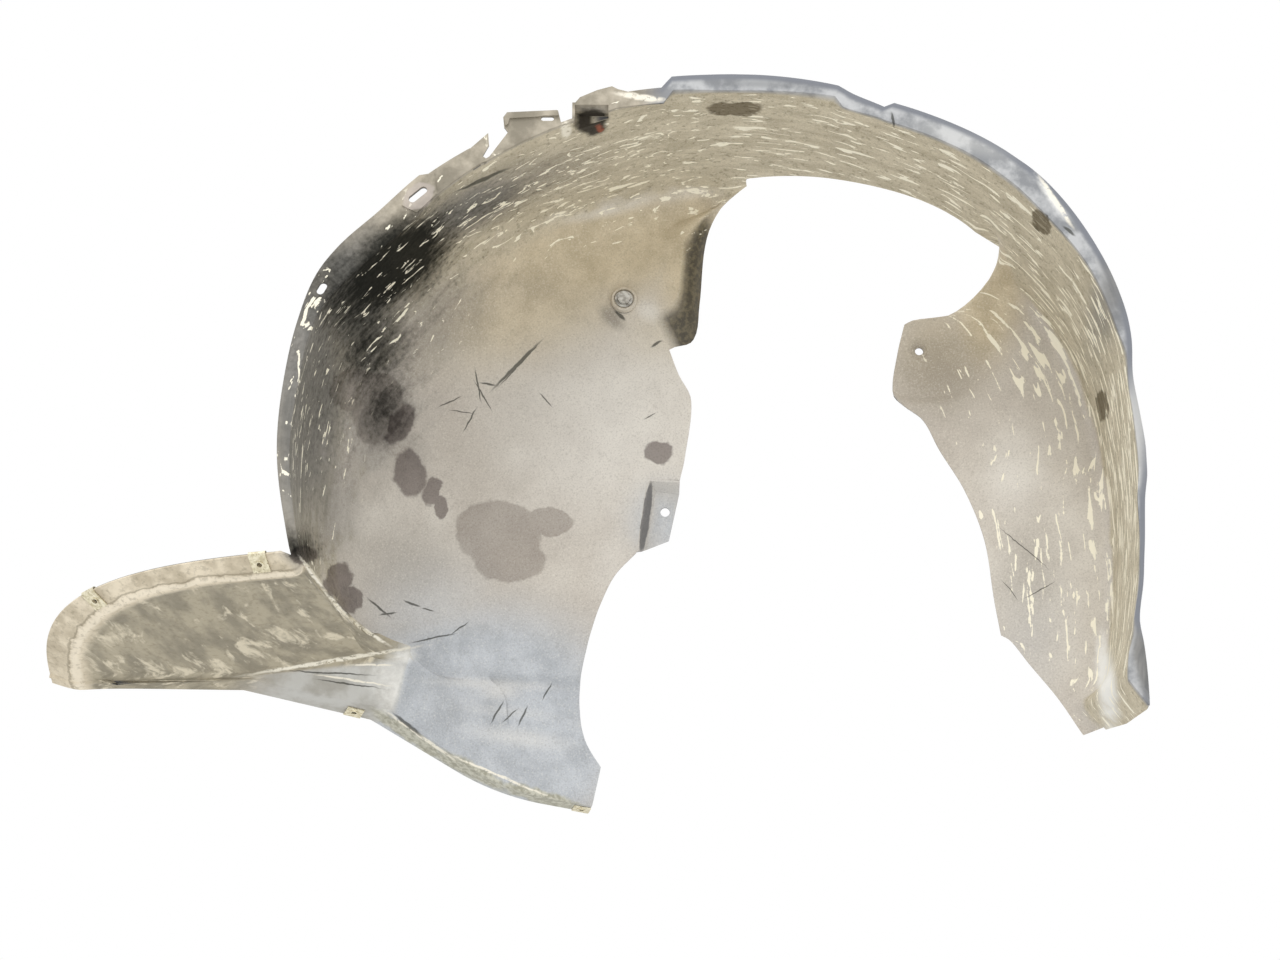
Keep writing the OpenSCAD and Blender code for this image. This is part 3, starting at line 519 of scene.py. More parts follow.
def sheet():
    """The moulding: both skins of the grid, joined round the rim by a slightly rounded edge."""
    rim = [(0, j) for j in range(NJ - 1)] + [(i, NJ - 1) for i in range(NI - 1)]
    rim += [(NI - 1, j) for j in range(NJ - 1, 0, -1)] + [(i, 0) for i in range(NI - 1, 0, -1)]
    n = NI * NJ
    verts = list(skins)
    for i, j in rim:
        inside = grid[min(max(i, 1), NI - 2), min(max(j, 1), NJ - 2)]
        out = unit(grid[i, j] - inside)
        verts.append((grid[i, j] + outer_grid[i, j]) / 2 + out * EDGE_ROUND)
    faces = []
    for i in range(NI - 1):
        for j in range(NJ - 1):
            a, b, c, d = i * NJ + j, i * NJ + j + 1, (i + 1) * NJ + j + 1, (i + 1) * NJ + j
            faces += [(a, b, c, d), (n + a, n + d, n + c, n + b)]
    for k, (i, j) in enumerate(rim):
        i2, j2 = rim[(k + 1) % len(rim)]
        a, b = i * NJ + j, i2 * NJ + j2
        m, m2 = 2 * n + k, 2 * n + (k + 1) % len(rim)
        faces += [(a, m, m2, b), (m, n + a, n + b, m2)]
    return solid("moulding", verts, faces)


def loft(name, low, high):
    """A closed solid between two rings of as many points."""
    n = len(low)
    faces = [tuple(range(n)), tuple(range(2 * n - 1, n - 1, -1))]
    faces += [(i, n + i, n + (i + 1) % n, (i + 1) % n) for i in range(n)]
    return solid(name, low + high, faces)


def disc(xz, r, n=48):
    angles = [2 * math.pi * i / n for i in range(n)]
    return [(xz[0] + r * math.cos(a), xz[1] + r * math.sin(a)) for a in angles]


def prism(name, outline, low, high):
    """An outline in x and z, from one depth to another."""
    return loft(name, [(x, low, z) for x, z in outline], [(x, high, z) for x, z in outline])


def lathe(name, xz, depth, profile):
    """A ring turned round the axle's direction, from a closed profile of radii and depths."""
    n, k = 64, len(profile)
    verts = []
    for i in range(n):
        c, s = math.cos(2 * math.pi * i / n), math.sin(2 * math.pi * i / n)
        verts += [(xz[0] + r * c, depth + h, xz[1] + r * s) for r, h in profile]
    faces = [
        (i * k + j, i * k + (j + 1) % k, (i + 1) % n * k + (j + 1) % k, (i + 1) % n * k + j)
        for i in range(n)
        for j in range(k)
    ]
    return solid(name, verts, faces)


def rod(name, centre, axis, r, length):
    """A round rod through a point in mm."""
    turn = Vector(axis).to_track_quat("Z", "Y").to_matrix()
    ends = [
        [Vector(centre) + turn @ Vector((x, y, z)) for x, y in disc((0, 0), r, 32)]
        for z in (-length / 2, length / 2)
    ]
    return loft(name, *ends)


def collar_axis(clip):
    """A clip's hole: the middle of its collar's end in mm, and its axis, square to the clip's flat leaf."""
    points = [clip.matrix_world @ v.co * 1000 for v in clip.data.vertices]
    leaf = max(clip.data.polygons, key=lambda f: f.area)
    way = (clip.matrix_world.to_3x3() @ leaf.normal).normalized()
    heights = [p.dot(way) for p in points]
    ring = [p for p, h in zip(points, heights) if h > max(heights) - 0.05]
    return sum(ring, Vector()) / len(ring), way


def slot_outline(xz, length, width, turn):
    """A slot with round ends, turned by degrees."""
    c, s = polar(1, turn)
    out = []
    for side in (1, -1):
        for degrees in range(-90, 91, 15):
            a = math.radians(degrees) + (0 if side > 0 else math.pi)
            x, z = side * (length - width) / 2 + width / 2 * math.cos(a), width / 2 * math.sin(a)
            out.append((xz[0] + x * c - z * s, xz[1] + x * s + z * c))
    return out


def block(name, front, front_past, back, back_past):
    """A block in the bowl's wall, its corners at a depth past the wall."""
    low = [(x, bowl_y(z) + front_past, z) for x, z in front]
    return loft(name, low, [(x, bowl_y(z) + back_past, z) for x, z in back])


def combine(target, operation, tools):
    for tool in tools:
        mod = target.modifiers.new("join", "BOOLEAN")
        mod.operation, mod.object, mod.solver = operation, tool, "MANIFOLD"
    bpy.context.view_layer.update()
    depsgraph = bpy.context.evaluated_depsgraph_get()
    mesh = bpy.data.meshes.new_from_object(target.evaluated_get(depsgraph))
    target.modifiers.clear()
    target.data = mesh
    for tool in tools:
        bpy.data.objects.remove(tool)


def moved(outline, *shifts):
    return [(p[0] + s[0], p[1] + s[1]) for p, s in zip(outline, shifts)]


# A seat's rounded shoulder, how deep its foot lies in the wall and how far it stops short of the wall's back
SHOULDER, SUNK, SHORT_OF_BACK = 1.5, 0.4, 0.5


def seat_ring(name, xz, depth, outer, height, seat, seat_height):
    """A raised seat: up over a rounded shoulder, then down into its dished middle."""
    profile = [(0.1, WALL - SHORT_OF_BACK), (outer, WALL - SHORT_OF_BACK)]
    for a in np.linspace(0, math.pi / 2, 6):
        profile.append((outer - SHOULDER + SHOULDER * math.cos(a), SUNK - (height + SUNK) * math.sin(a)))
    for a in np.linspace(0, math.pi / 2, 5):
        profile.append((seat + 1 - math.sin(a), -seat_height - (height - seat_height) * math.cos(a)))
    return lathe(name, xz, depth, profile + [(0.1, -seat_height)])


liner = sheet()
# Outline of the recessed pad on the hub's side, and the sizes of the pocket under its hood
HUB = [(-57, 71), (-27.5, 67), (-38.5, 11), (-68, 2)]
POCKET_FROM, POCKET_TO, POCKET_TOP, POCKET_DEPTH, POCKET_WALL = -127.0, -91.5, 354.0, 24.0, 2.4
GAP_FROM, GAP_TO, GAP_TOP = POCKET_FROM + POCKET_WALL, POCKET_TO - POCKET_WALL, POCKET_TOP - POCKET_WALL
pocket_gap = [(GAP_FROM, 320), (GAP_TO, 320), (GAP_TO, GAP_TOP), (GAP_FROM, GAP_TOP)]
cut = [(-58, 72), (12, 68), (-20, -12), (-70.5, -12)]
combine(liner, "DIFFERENCE", [
    block("hub_gap", cut, -6, cut, 14),
    prism("pocket_gap", pocket_gap, -5, POCKET_DEPTH - POCKET_WALL),
])

SCREW_AT, STRUT_AT, HUB_AT = (-80.5, 250.7), (202.0, 190.0), (-41.0, 45.0)
TRAY_DEPTH, TRAY_SLOPE = 16, 7
tray_mouth = moved(HUB, (-WALL, WALL), (0.5, WALL), (0, 0), (-WALL, -0.5))
run_in = TRAY_SLOPE - WALL
tray_floor = moved(HUB, (run_in, -run_in), (0, -run_in), (1, TRAY_SLOPE), (run_in, 6))
tray = block("hub_tray", tray_mouth, 0.3, tray_floor, TRAY_DEPTH + WALL)
inside_mouth = [HUB[0], (12, 66), (-20, -12), (-70, -12)]
inside_floor = [(-50, 64), (12, 57), (-20, -12), (-63, -12)]
combine(tray, "DIFFERENCE", [block("hub_inside", inside_mouth, -2, inside_floor, TRAY_DEPTH)])
# The bracket over the bowl with its rolled edge, the torn spike beside it and the pocket under its hood
bracket_root = [tuple(polar(fold_radius(a) + 1.2, a)) for a in np.arange(112.5, 124.6, 2)]
bracket = bracket_root + [
    (-207, 292), (-185.4, 323.8), (-189, 329), (-190, 339), (-186.6, 344), (-140, 346), (-137, 333),
]
roll = [
    (-139.4, 340), (-184, 337), (-185.5, 331), (-188.2, 329.6), (-189.2, 338.7), (-186, 343), (-140.9, 345.3),
]
spike = [
    tuple(polar(fold_radius(125.8) - 0.5, 125.8)), tuple(polar(fold_radius(127) - 0.6, 127)),
    tuple(polar(lip_radius(126.5) - 1.5, 126.5)), (-203.5, 323), (-202.5, 310.7), (-211, 294),
]
strip_seat = [
    (-255.6, 280.6), (-252, 282.6), (-248.8, 261.6), (-266.5, 242.7), (-280.2, 249.7), (-276, 263.6),
]
hood = [
    (-126.3, 351.2), (-120, 359.3), (-104.4, 366.5), (-90.7, 370.5), (-85.2, 367.5), (-74.2, 364.4),
    (-76, 352.2), (-88.8, 352.2), (-126.3, 348.1),
]
pocket_outline = [(POCKET_FROM, 334), (POCKET_TO, 334), (POCKET_TO, POCKET_TOP), (POCKET_FROM, POCKET_TOP)]
pocket = prism("pocket", pocket_outline, 0.5, POCKET_DEPTH)
combine(pocket, "UNION", [prism("hood", hood, 0.4, 0.4 + POCKET_WALL)])
combine(pocket, "DIFFERENCE", [
    prism("pocket_gap", pocket_gap, -5, POCKET_DEPTH - POCKET_WALL),
    prism("pocket_under", disc((0, 0), fold_radius(110) + 1.9, 360), -10, 50),
])
combine(liner, "UNION", [
    tray,
    seat_ring("screw_ring", SCREW_AT, bowl_y(SCREW_AT[1]), 13, 4.4, 9.3, 1.4),
    seat_ring("strut_ring", STRUT_AT, REAR_DEPTH + 6, 8, 1.6, 4.6, 0.5),
    prism("bracket", bracket, 0.4, 0.4 + WALL),
    prism("roll", roll, -1.6, 1.2),
    prism("spike", spike, 0.5, 0.2 + WALL),
    prism("strip_seat", strip_seat, -1.4, 1.2),
    pocket,
])

# Radii of the holes, and the cutters with the depths that they reach from and to
SCREW_HOLE, STRUT_HOLE, HUB_HOLE, CLIP_HOLE = 4, 4, 4.5, 3.25
CLIP_CUT = 24
holes = [
    prism("screw_hole", disc(SCREW_AT, SCREW_HOLE), 200, 240),
    prism("strut_hole", disc(STRUT_AT, STRUT_HOLE), 175, 215),
    prism("hub_hole", disc(HUB_AT, HUB_HOLE), 236, 266),
    prism("strip_slot", slot_outline((-266, 260.5), 20, 7, 42), -10, 10),
    prism("bracket_slot", slot_outline((-149.5, 337.5), 12, 4.5, 0), -10, 10),
    prism("lip_slot", slot_outline((-350, 168.5), 12, 7, 62), -10, 10),
]
CLIPS = ("tongue_clip_front", "tongue_clip_rear", "foot_clip_front", "foot_clip_rear")
holes += [rod("clip_hole", *collar_axis(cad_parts[name]), CLIP_HOLE, CLIP_CUT) for name in CLIPS]
combine(liner, "DIFFERENCE", holes)
# The edges between stations may pass the CAD's box by a hair
for v in liner.data.vertices:
    v.co = [min(max(x, lo), hi) for x, lo, hi in zip(v.co, *cad_box)]

# Every vertex takes from the nearest points of the grid where it lies on the sheet, and what dirt, painted
# shade and painted highlights are there.
# The photograph's view: the way the eye looks, the picture's up, the point in its middle and how far that is,
# in mm, the same point in pixels, and the pixels that a slope of 1 takes
tilt_cos, tilt_sin = polar(1, 20)
EYE = np.array([0, tilt_cos, tilt_sin])
UP = np.array([0, -tilt_sin, tilt_cos])
AIM = np.array([-65.0, 0, -14.0])
EYE_DISTANCE, MIDDLE_X, MIDDLE_Y, PIXELS = 2800, 640, 480, 3196.35


def seen_at(points):
    """Where points in mm show in the 1280 x 960 view along EYE, in hundreds of pixels."""
    rel = points - AIM
    depth = EYE_DISTANCE + rel @ EYE
    x = MIDDLE_X + PIXELS * rel[..., 0] / depth
    return np.stack([x, MIDDLE_Y - PIXELS * (rel @ UP) / depth], axis=-1) / 100


# How fast a patch fades out from its centre
FADING = 0.7


def blobs(seen, spots):
    """Soft patches: each has a centre, two radii, a turn in degrees and a strength."""
    total = np.zeros(seen.shape[:-1])
    for x, y, rx, ry, turn, strength in spots:
        c, s = polar(1, turn)
        dx, dy = seen[..., 0] - x / 100, seen[..., 1] - y / 100
        d = ((dx * c + dy * s) * 100 / rx) ** 2 + ((dy * c - dx * s) * 100 / ry) ** 2
        total = np.maximum(total, strength * np.exp(-d * FADING))
    return total


us = np.array(US)[:, None] * np.ones((1, NJ))
cols = np.ones((NI, 1)) * np.arange(NJ)[None, :]
spine = grid[:, FOLD_COLUMN]
arc = np.concatenate([[0], np.cumsum(norm(np.diff(spine, axis=0), axis=1))])
steps_across = norm(np.diff(grid, axis=1), axis=2)
across = np.concatenate([np.zeros((NI, 1)), np.cumsum(steps_across, axis=1)], axis=1)
seen = seen_at(grid)
on_arch = ease(CORNER + 1.5, CORNER - 0.5, us)
on_plate = (cols <= FOLD_COLUMN) * 1.0
flange = on_plate * on_arch
tongue = on_plate * ease(CORNER, CORNER + 1, us)
over_strut = ease(REAR_WALL_END - 2, REAR_WALL_END + 1, us)
over_strut *= ease(FRONT_WALL_START + 6, FRONT_WALL_START, us)
to_wall = ease(BAND_COLUMN - 2, WALL_COLUMN - 3, cols) * (1 - over_strut)
band = (1 - on_plate) * (1 - to_wall) * on_arch
front = ease(FRONT_WALL_START - 2, FRONT_WALL_START + 6, us)
gusset = tongue * ease(RIDGE + 2, RIDGE + 5, us) * ease(13.5, 15.5, cols)
# Stations over which the lip is clean, and those and the columns over which the front wall's edge is turned
clean = ease(101, 96, us)
turned_edge_shade_and_dirt = ease(NJ - 8.5, NJ - 6.5, cols) * ease(91, 94, us) * ease(107, 105.5, us)
masks = {
    "arc": arc[:, None] * np.ones((1, NJ)) / 1000,
    "across": across / 1000,
    "past_fold": (across - across[:, FOLD_COLUMN:FOLD_COLUMN + 1]) / 1000,
    "band": band,
    "flange": flange,
    "clean_flange": flange * clean,
    "tongue": tongue * (1 - gusset),
    "gusset": gusset,
    "rear": (1 - on_plate) * (1 - front),
    "turned": turned_edge_shade_and_dirt,
    "soot": blobs(seen, SOOT) * (1 - tongue),
    "grey_and_shade": blobs(seen, GREY_AND_SHADE) * (1 - tongue),
}
PATCHES = {"white": WHITE, "tan": TAN, "flecks": FLECKS, "cool": COOL, "painted_shade": PAINTED_SHADE, "pale_and_highlights": PALE_AND_HIGHLIGHTS}
masks |= {name: blobs(seen, spots) for name, spots in PATCHES.items()}
# How many grid points a vertex takes its masks from
NEIGHBOURS = 4


def dress(obj):
    """Puts the masks and the place in the photograph's view on every vertex."""
    n = NI * NJ
    tree = kdtree.KDTree(2 * n)
    for k, p in enumerate(skins):
        tree.insert(Vector(p / 1000), k)
    tree.balance()
    mesh = obj.data
    found = [tree.find_n(v.co, NEIGHBOURS) for v in mesh.vertices]
    index = np.array([[hit[1] for hit in hits] for hits in found])
    far = np.array([[hit[2] for hit in hits] for hits in found])
    weight = 1 / np.maximum(far, 1e-6) ** 2
    weight /= weight.sum(axis=1)[:, None]
    values = {name: (mask.reshape(-1)[index % n] * weight).sum(axis=1) for name, mask in masks.items()}
    facing = np.array([v.normal[:] for v in mesh.vertices])
    values["back"] = ease(0.25, -0.25, (facing * mean.reshape(-1, 3)[index[:, 0] % n]).sum(axis=1))
    at = seen_at(np.array([v.co[:] for v in mesh.vertices]) * 1000)
    wheel_side = np.clip(blobs(at, WHEEL_SIDE), 0, 1) * ease(0.4, 0.1, facing @ EYE)
    values["tongue"] = np.maximum(values["tongue"], values["back"] * wheel_side)
    values["back"] *= 1 - wheel_side
    for name, value in values.items():
        layer = mesh.attributes.new(name, "FLOAT", "POINT")
        layer.data.foreach_set("value", value.astype(np.float32))
    where = mesh.attributes.new("seen", "FLOAT_VECTOR", "POINT")
    flat = np.concatenate([at, np.zeros((len(at), 1))], axis=1)
    where.data.foreach_set("vector", flat.astype(np.float32).ravel())


def srgb(r, g, b):
    """A colour as it looks on a screen, 0 to 255, as the renderer wants it."""
    out = []
    for c in (r, g, b):
        c /= 255
        out.append(c / 12.92 if c <= 0.04045 else ((c + 0.055) / 1.055) ** 2.4)
    return (*out, 1.0)


class Look:
    """A node material built from short calls that return sockets."""

    def __init__(self, name, **constants):
        self.mat = bpy.data.materials.new(name)
        self.mat.use_nodes = True
        self.tree = self.mat.node_tree
        self.tree.nodes.clear()
        out = self.add("ShaderNodeOutputMaterial")
        self.bsdf = self.add("ShaderNodeBsdfPrincipled")
        self.tree.links.new(self.bsdf.outputs[0], out.inputs[0])
        self.fill(self.bsdf, **constants)
        self.place = self.add("ShaderNodeTexCoord").outputs["Object"]

    def add(self, kind, **props):
        node = self.tree.nodes.new(kind)
        for key, value in props.items():
            setattr(node, key, value)
        return node

    def put(self, socket, value):
        if isinstance(value, bpy.types.NodeSocket):
            self.tree.links.new(value, socket)
        else:
            socket.default_value = value

    def fill(self, node, **values):
        for key, value in values.items():
            self.put(node.inputs[key.replace("_", " ")], value)

    def attr(self, name, output="Fac"):
        return self.add("ShaderNodeAttribute", attribute_name=name).outputs[output]

    def math(self, operation, a, b=0.0, clamp=False):
        node = self.add("ShaderNodeMath", operation=operation, use_clamp=clamp)
        self.put(node.inputs[0], a)
        self.put(node.inputs[1], b)
        return node.outputs[0]

    def times(self, a, b):
        return self.math("MULTIPLY", a, b)

    def vmath(self, operation, a, b):
        node = self.add("ShaderNodeVectorMath", operation=operation)
        self.put(node.inputs[0], a)
        self.put(node.inputs[1], b)
        return node.outputs["Vector"]

    def ragged(self, mask, noise, amount):
        """A mask with its edge broken up by noise"""
        return self.math("ADD", mask, self.times(self.math("SUBTRACT", noise, 0.5), amount))

    def away(self, x, middle):
        return self.math("ABSOLUTE", self.math("SUBTRACT", x, middle))

    def mix(self, share, a, b, blend="MIX"):
        """Two colours mixed: sockets 6, 7 and output 2 are the node's colour ones"""
        node = self.add("ShaderNodeMix", data_type="RGBA", blend_type=blend, clamp_factor=True)
        self.put(node.inputs["Factor"], share)
        self.put(node.inputs[6], a)
        self.put(node.inputs[7], b)
        return node.outputs[2]

    def ramp(self, x, low, high, to_low=0.0, to_high=1.0):
        node = self.add("ShaderNodeMapRange", interpolation_type="SMOOTHSTEP")
        self.fill(node, Value=x, From_Min=low, From_Max=high, To_Min=to_low, To_Max=to_high)
        return node.outputs[0]

    def noise(self, where, scale, detail=4.0, rough=0.55, distortion=0.0, color=False):
        node = self.add("ShaderNodeTexNoise")
        self.fill(node, Vector=where, Scale=scale, Detail=detail, Roughness=rough, Distortion=distortion)
        return node.outputs["Color" if color else "Fac"]

    def stretched(self, where, x, y, turn=0.0):
        node = self.add("ShaderNodeMapping")
        self.fill(node, Vector=where, Scale=(x, y, 1), Rotation=(0, 0, turn))
        return node.outputs[0]

    def flow(self):
        """Where a point lies on the sheet: metres along the arch, then metres from the lip's fold"""
        node = self.add("ShaderNodeCombineXYZ")
        self.put(node.inputs[0], self.attr("arc"))
        self.put(node.inputs[1], self.attr("past_fold"))
        return node.outputs[0]

    def ellipses(self, where, spots, soft=0.12):
        """1 inside any of the ellipses, each with its centre, two radii and turn in the photograph's view"""
        total = 0.0
        for x, y, rx, ry, turn in spots:
            node = self.add("ShaderNodeTexGradient", gradient_type="SPHERICAL")
            self.put(node.inputs[0], where)
            held = node.texture_mapping
            held.vector_type = "TEXTURE"
            held.translation = (x / 100, y / 100, 0)
            held.rotation = (0, 0, math.radians(turn))
            held.scale = (rx / 100 * (1 + soft), ry / 100 * (1 + soft), 1)
            total = self.math("MAXIMUM", total, node.outputs["Fac"])
        return self.ramp(total, 0, 2 * soft / (1 + soft))

    def bump(self, height, strength, distance):
        node = self.add("ShaderNodeBump")
        self.fill(node, Height=height, Strength=strength, Distance=distance)
        self.put(self.bsdf.inputs["Normal"], node.outputs[0])


def moulding_look():
    k = Look("dirty_moulding_with_painted_light")
    place = k.place
    flow = k.flow()
    large = k.noise(place, 7, 3)
    middle = k.noise(place, 38, 4, 0.6)
    small = k.noise(place, 190, 3, 0.65)
    grain = k.noise(place, 620, 2, 0.7)
    streaks = k.noise(k.stretched(flow, 18, 60), 1.0, 4, 0.65)
    brush = k.noise(k.stretched(flow, 14, 90), 1.0, 3, 0.6)
    blotches = k.noise(k.stretched(flow, 26, 40), 1.0, 4, 0.6)
    face = k.ramp(k.attr("back"), 0.6, 0.4)

    # dusty plastic, cooler on the lower panel, tan where the spray dried
    wall = k.mix(k.ramp(large, 0.3, 0.7), srgb(192, 184, 173), srgb(212, 206, 196))
    wall = k.mix(k.ramp(middle, 0.4, 0.75, 0, 0.35), wall, srgb(174, 166, 156))
    cool = k.mix(k.ramp(middle, 0.3, 0.7), srgb(170, 174, 179), srgb(190, 194, 199))
    base = k.mix(k.ramp(k.attr("cool"), 0.1, 0.7), wall, cool)
    tan = k.mix(k.ramp(middle, 0.3, 0.7), srgb(186, 172, 143), srgb(210, 196, 168))
    base = k.mix(k.ramp(k.attr("tan"), 0.15, 0.9, 0, 0.95), base, tan)
    # painted highlights: the pale patches lighten the colour where the light falls
    base = k.mix(k.ramp(k.attr("pale_and_highlights"), 0.2, 0.9, 0, 0.65), base, srgb(230, 227, 221))

    # the band is caked with mud drawn out along the arch
    mud = k.mix(k.ramp(streaks, 0.34, 0.66), srgb(182, 172, 149), srgb(206, 196, 173))
    mud = k.mix(k.ramp(blotches, 0.5, 0.7, 0, 0.6), mud, srgb(198, 188, 164))
    mud = k.mix(k.ramp(small, 0.52, 0.68, 0, 0.6), mud, srgb(138, 129, 108))
    muddy = k.ramp(k.ragged(k.attr("band"), blotches, 1.4), 0.2, 0.8)
    base = k.mix(muddy, base, mud)
    # painted shade: the shade patches darken the colour where shade falls
    base = k.mix(k.ramp(k.attr("painted_shade"), 0.1, 0.8, 0, 0.6), base, srgb(122, 115, 106))
    base = k.mix(k.ramp(grain, 0.5, 0.7, 0, 0.26), base, srgb(122, 115, 102))
    base = k.mix(k.ramp(grain, 0.46, 0.3, 0, 0.3), base, srgb(232, 228, 216))
    # the turned front edge is painted dark: painted shade where it turns away from the light, with dirt along
    # it
    turned = k.mix(k.ramp(small, 0.4, 0.65), srgb(50, 45, 33), srgb(96, 88, 67))
    base = k.mix(k.times(k.attr("turned"), 0.92), base, turned)

    # tongue: olive mud with pale smears, then a dark crease and a pale bead inside the sandy rim
    across = k.attr("across")
    from_rim = k.ragged(across, middle, 0.02)
    tongue_mud = k.mix(k.ramp(blotches, 0.38, 0.64), srgb(140, 133, 116), srgb(172, 163, 142))
    smear = k.noise(k.stretched(flow, 34, 55, turn=0.5), 1.0, 4, 0.65, 0.4)
    # the pale patches raise the smears: partly pale mud, partly painted highlight
    pale_smear = k.math("ADD", smear, k.times(k.attr("pale_and_highlights"), 0.16))
    tongue_mud = k.mix(k.ramp(pale_smear, 0.56, 0.7, 0, 0.85), tongue_mud, srgb(218, 208, 185))
    sand = k.mix(k.ramp(middle, 0.35, 0.65), srgb(190, 178, 155), srgb(230, 218, 195))
    tongue_mud = k.mix(k.ramp(from_rim, 0.046, 0.034), tongue_mud, sand)
    bead = k.ramp(k.away(from_rim, 0.029), 0.007, 0.002, 0, 0.75)
    tongue_mud = k.mix(bead, tongue_mud, srgb(240, 229, 208))
    crease = k.ramp(k.away(from_rim, 0.022), 0.002, 0.0004, 0, 0.5)
    tongue_mud = k.mix(crease, tongue_mud, srgb(122, 112, 92))
    tongue_mud = k.mix(k.ramp(small, 0.5, 0.7, 0, 0.35), tongue_mud, srgb(122, 114, 96))
    base = k.mix(k.attr("tongue"), base, tongue_mud)
    clean = k.mix(k.ramp(middle, 0.35, 0.65), srgb(164, 161, 153), srgb(190, 189, 184))
    base = k.mix(k.attr("gusset"), base, clean)

    # lip flange: dirty over the bowl, clean blue-grey from the step to the rear
    dirty = k.mix(k.ramp(middle, 0.35, 0.7), srgb(134, 127, 112), srgb(182, 173, 156))
    base = k.mix(k.attr("flange"), base, dirty)
    lip = k.mix(k.ramp(middle, 0.38, 0.62), srgb(134, 136, 139), srgb(184, 185, 186))
    # painted shade: the lip's outer edge is darker where its curve turns from the light, and the pale and
    # shade patches give it painted highlight and painted shade
    lip = k.mix(k.ramp(across, 0.003, 0.008), srgb(120, 123, 130), lip)
    lip = k.mix(k.ramp(k.attr("pale_and_highlights"), 0.2, 0.8, 0, 0.55), lip, srgb(214, 213, 208))
    lip = k.mix(k.ramp(k.attr("painted_shade"), 0.1, 0.6, 0, 0.6), lip, srgb(106, 108, 110))
    base = k.mix(k.attr("clean_flange"), base, lip)

    # darker grey, partly painted shade where the bowl's left edge turns away and partly grey unwashed
    # plastic, and dark wet soot brushed along the arch
    grey_and_shade_edge = k.ragged(k.attr("grey_and_shade"), blotches, 0.5)
    grey_and_shade = k.mix(k.ramp(brush, 0.35, 0.65), srgb(100, 100, 98), srgb(136, 134, 130))
    base = k.mix(k.times(k.ramp(grey_and_shade_edge, 0.1, 0.9, 0, 0.85), face), base, grey_and_shade)
    soot_edge = k.ragged(k.ragged(k.attr("soot"), brush, 0.7), small, 0.6)
    base = k.mix(k.ramp(soot_edge, 0.1, 1.0, 0, 0.97), base, srgb(24, 25, 22))
    k.put(k.bsdf.inputs["Specular IOR Level"], k.ramp(soot_edge, 0.1, 0.9, 0.3, 0.04))
    white = k.ragged(k.attr("white"), small, 0.4)
    base = k.mix(k.times(k.ramp(white, 0.2, 0.9, 0, 0.92), face), base, srgb(238, 237, 232))

    # cream flecks thrown on the band, and thin ones drawn along the arch on the rear side
    density = k.math("SUBTRACT", k.attr("flecks"), k.attr("clean_flange"))
    short = k.noise(k.stretched(flow, 42, 105), 1.0, 2, 0.55, 1.2)
    thin = k.noise(k.stretched(flow, 30, 165), 1.0, 2, 0.5, 0.6)
    fleck = k.mix(k.attr("rear"), short, thin)
    level = k.math("ADD", fleck, k.times(k.math("SUBTRACT", density, 1.0), 0.15))
    level = k.ragged(level, small, 0.2)
    cream = k.times(k.ramp(level, 0.565, 0.6), k.ramp(density, 0.05, 0.3))
    cream = k.times(cream, face)
    base = k.mix(k.times(cream, 0.94), base, srgb(246, 240, 220))

    # stains, scratches and pale ridges where the photograph shows them; the ridges are partly painted
    # highlights, and the pad's side wall and the pocket get painted shade
    seen = k.attr("seen", "Vector")

    def shaken(noise, reach):
        centred = k.vmath("SUBTRACT", noise, (0.5, 0.5, 0.5))
        return k.vmath("ADD", seen, k.vmath("MULTIPLY", centred, (reach, reach, 0)))

    broken = shaken(k.noise(place, 70, 3, 0.6, color=True), 0.12)
    bent = shaken(k.noise(place, 90, 2, color=True), 0.035)

    def shapes(where, spots, strength, soft=0.12):
        return k.times(k.times(k.ellipses(where, spots, soft), face), strength)

    strip = k.mix(k.ramp(small, 0.35, 0.65), srgb(150, 147, 128), srgb(196, 194, 178))
    base = k.mix(shapes(broken, FOOT_STRIP, 0.9, 0.3), base, strip)
    base = k.mix(shapes(broken, BROAD_STAINS, 0.95, 0.06), base, srgb(214, 211, 210), "MULTIPLY")
    stain = shapes(broken, STAINS, 0.95)
    base = k.mix(stain, base, srgb(166, 160, 160), "MULTIPLY")
    base = k.mix(shapes(broken, DEEP_STAINS, 0.95), base, srgb(148, 142, 130), "MULTIPLY")
    # painted shade on the pad's side wall
    base = k.mix(shapes(bent, PAD_SHADE, 0.95, 0.1), base, srgb(146, 147, 152), "MULTIPLY")
    base = k.mix(shapes(broken, [SLOT_SEAT], 0.6), base, srgb(186, 176, 168))
    # painted shadow inside the pocket
    base = k.mix(shapes(broken, [POCKET_SHADE], 0.95, 0.25), base, srgb(34, 28, 20))
    base = k.mix(shapes(broken, [RUST_SPOT], 0.8, 0.4), base, srgb(150, 84, 62))
    # painted highlights along the folds, broken up with dried mud
    torn = k.ramp(small, 0.32, 0.5)
    base = k.mix(k.times(shapes(bent, LIT_RIDGES_AND_MUD, 0.9, 0.4), torn), base, srgb(240, 234, 218))
    base = k.mix(shapes(bent, SCRATCHES, 0.8, 0.35), base, srgb(50, 51, 43))

    # the side away from the wheel is dark plastic under dust
    dark = k.mix(k.ramp(large, 0.35, 0.7), srgb(84, 84, 86), srgb(120, 118, 113))
    dark = k.mix(k.ramp(small, 0.5, 0.8, 0, 0.5), dark, srgb(146, 141, 130))
    base = k.mix(k.ramp(k.attr("back"), 0.45, 0.8), base, dark)
    k.put(k.bsdf.inputs["Base Color"], base)

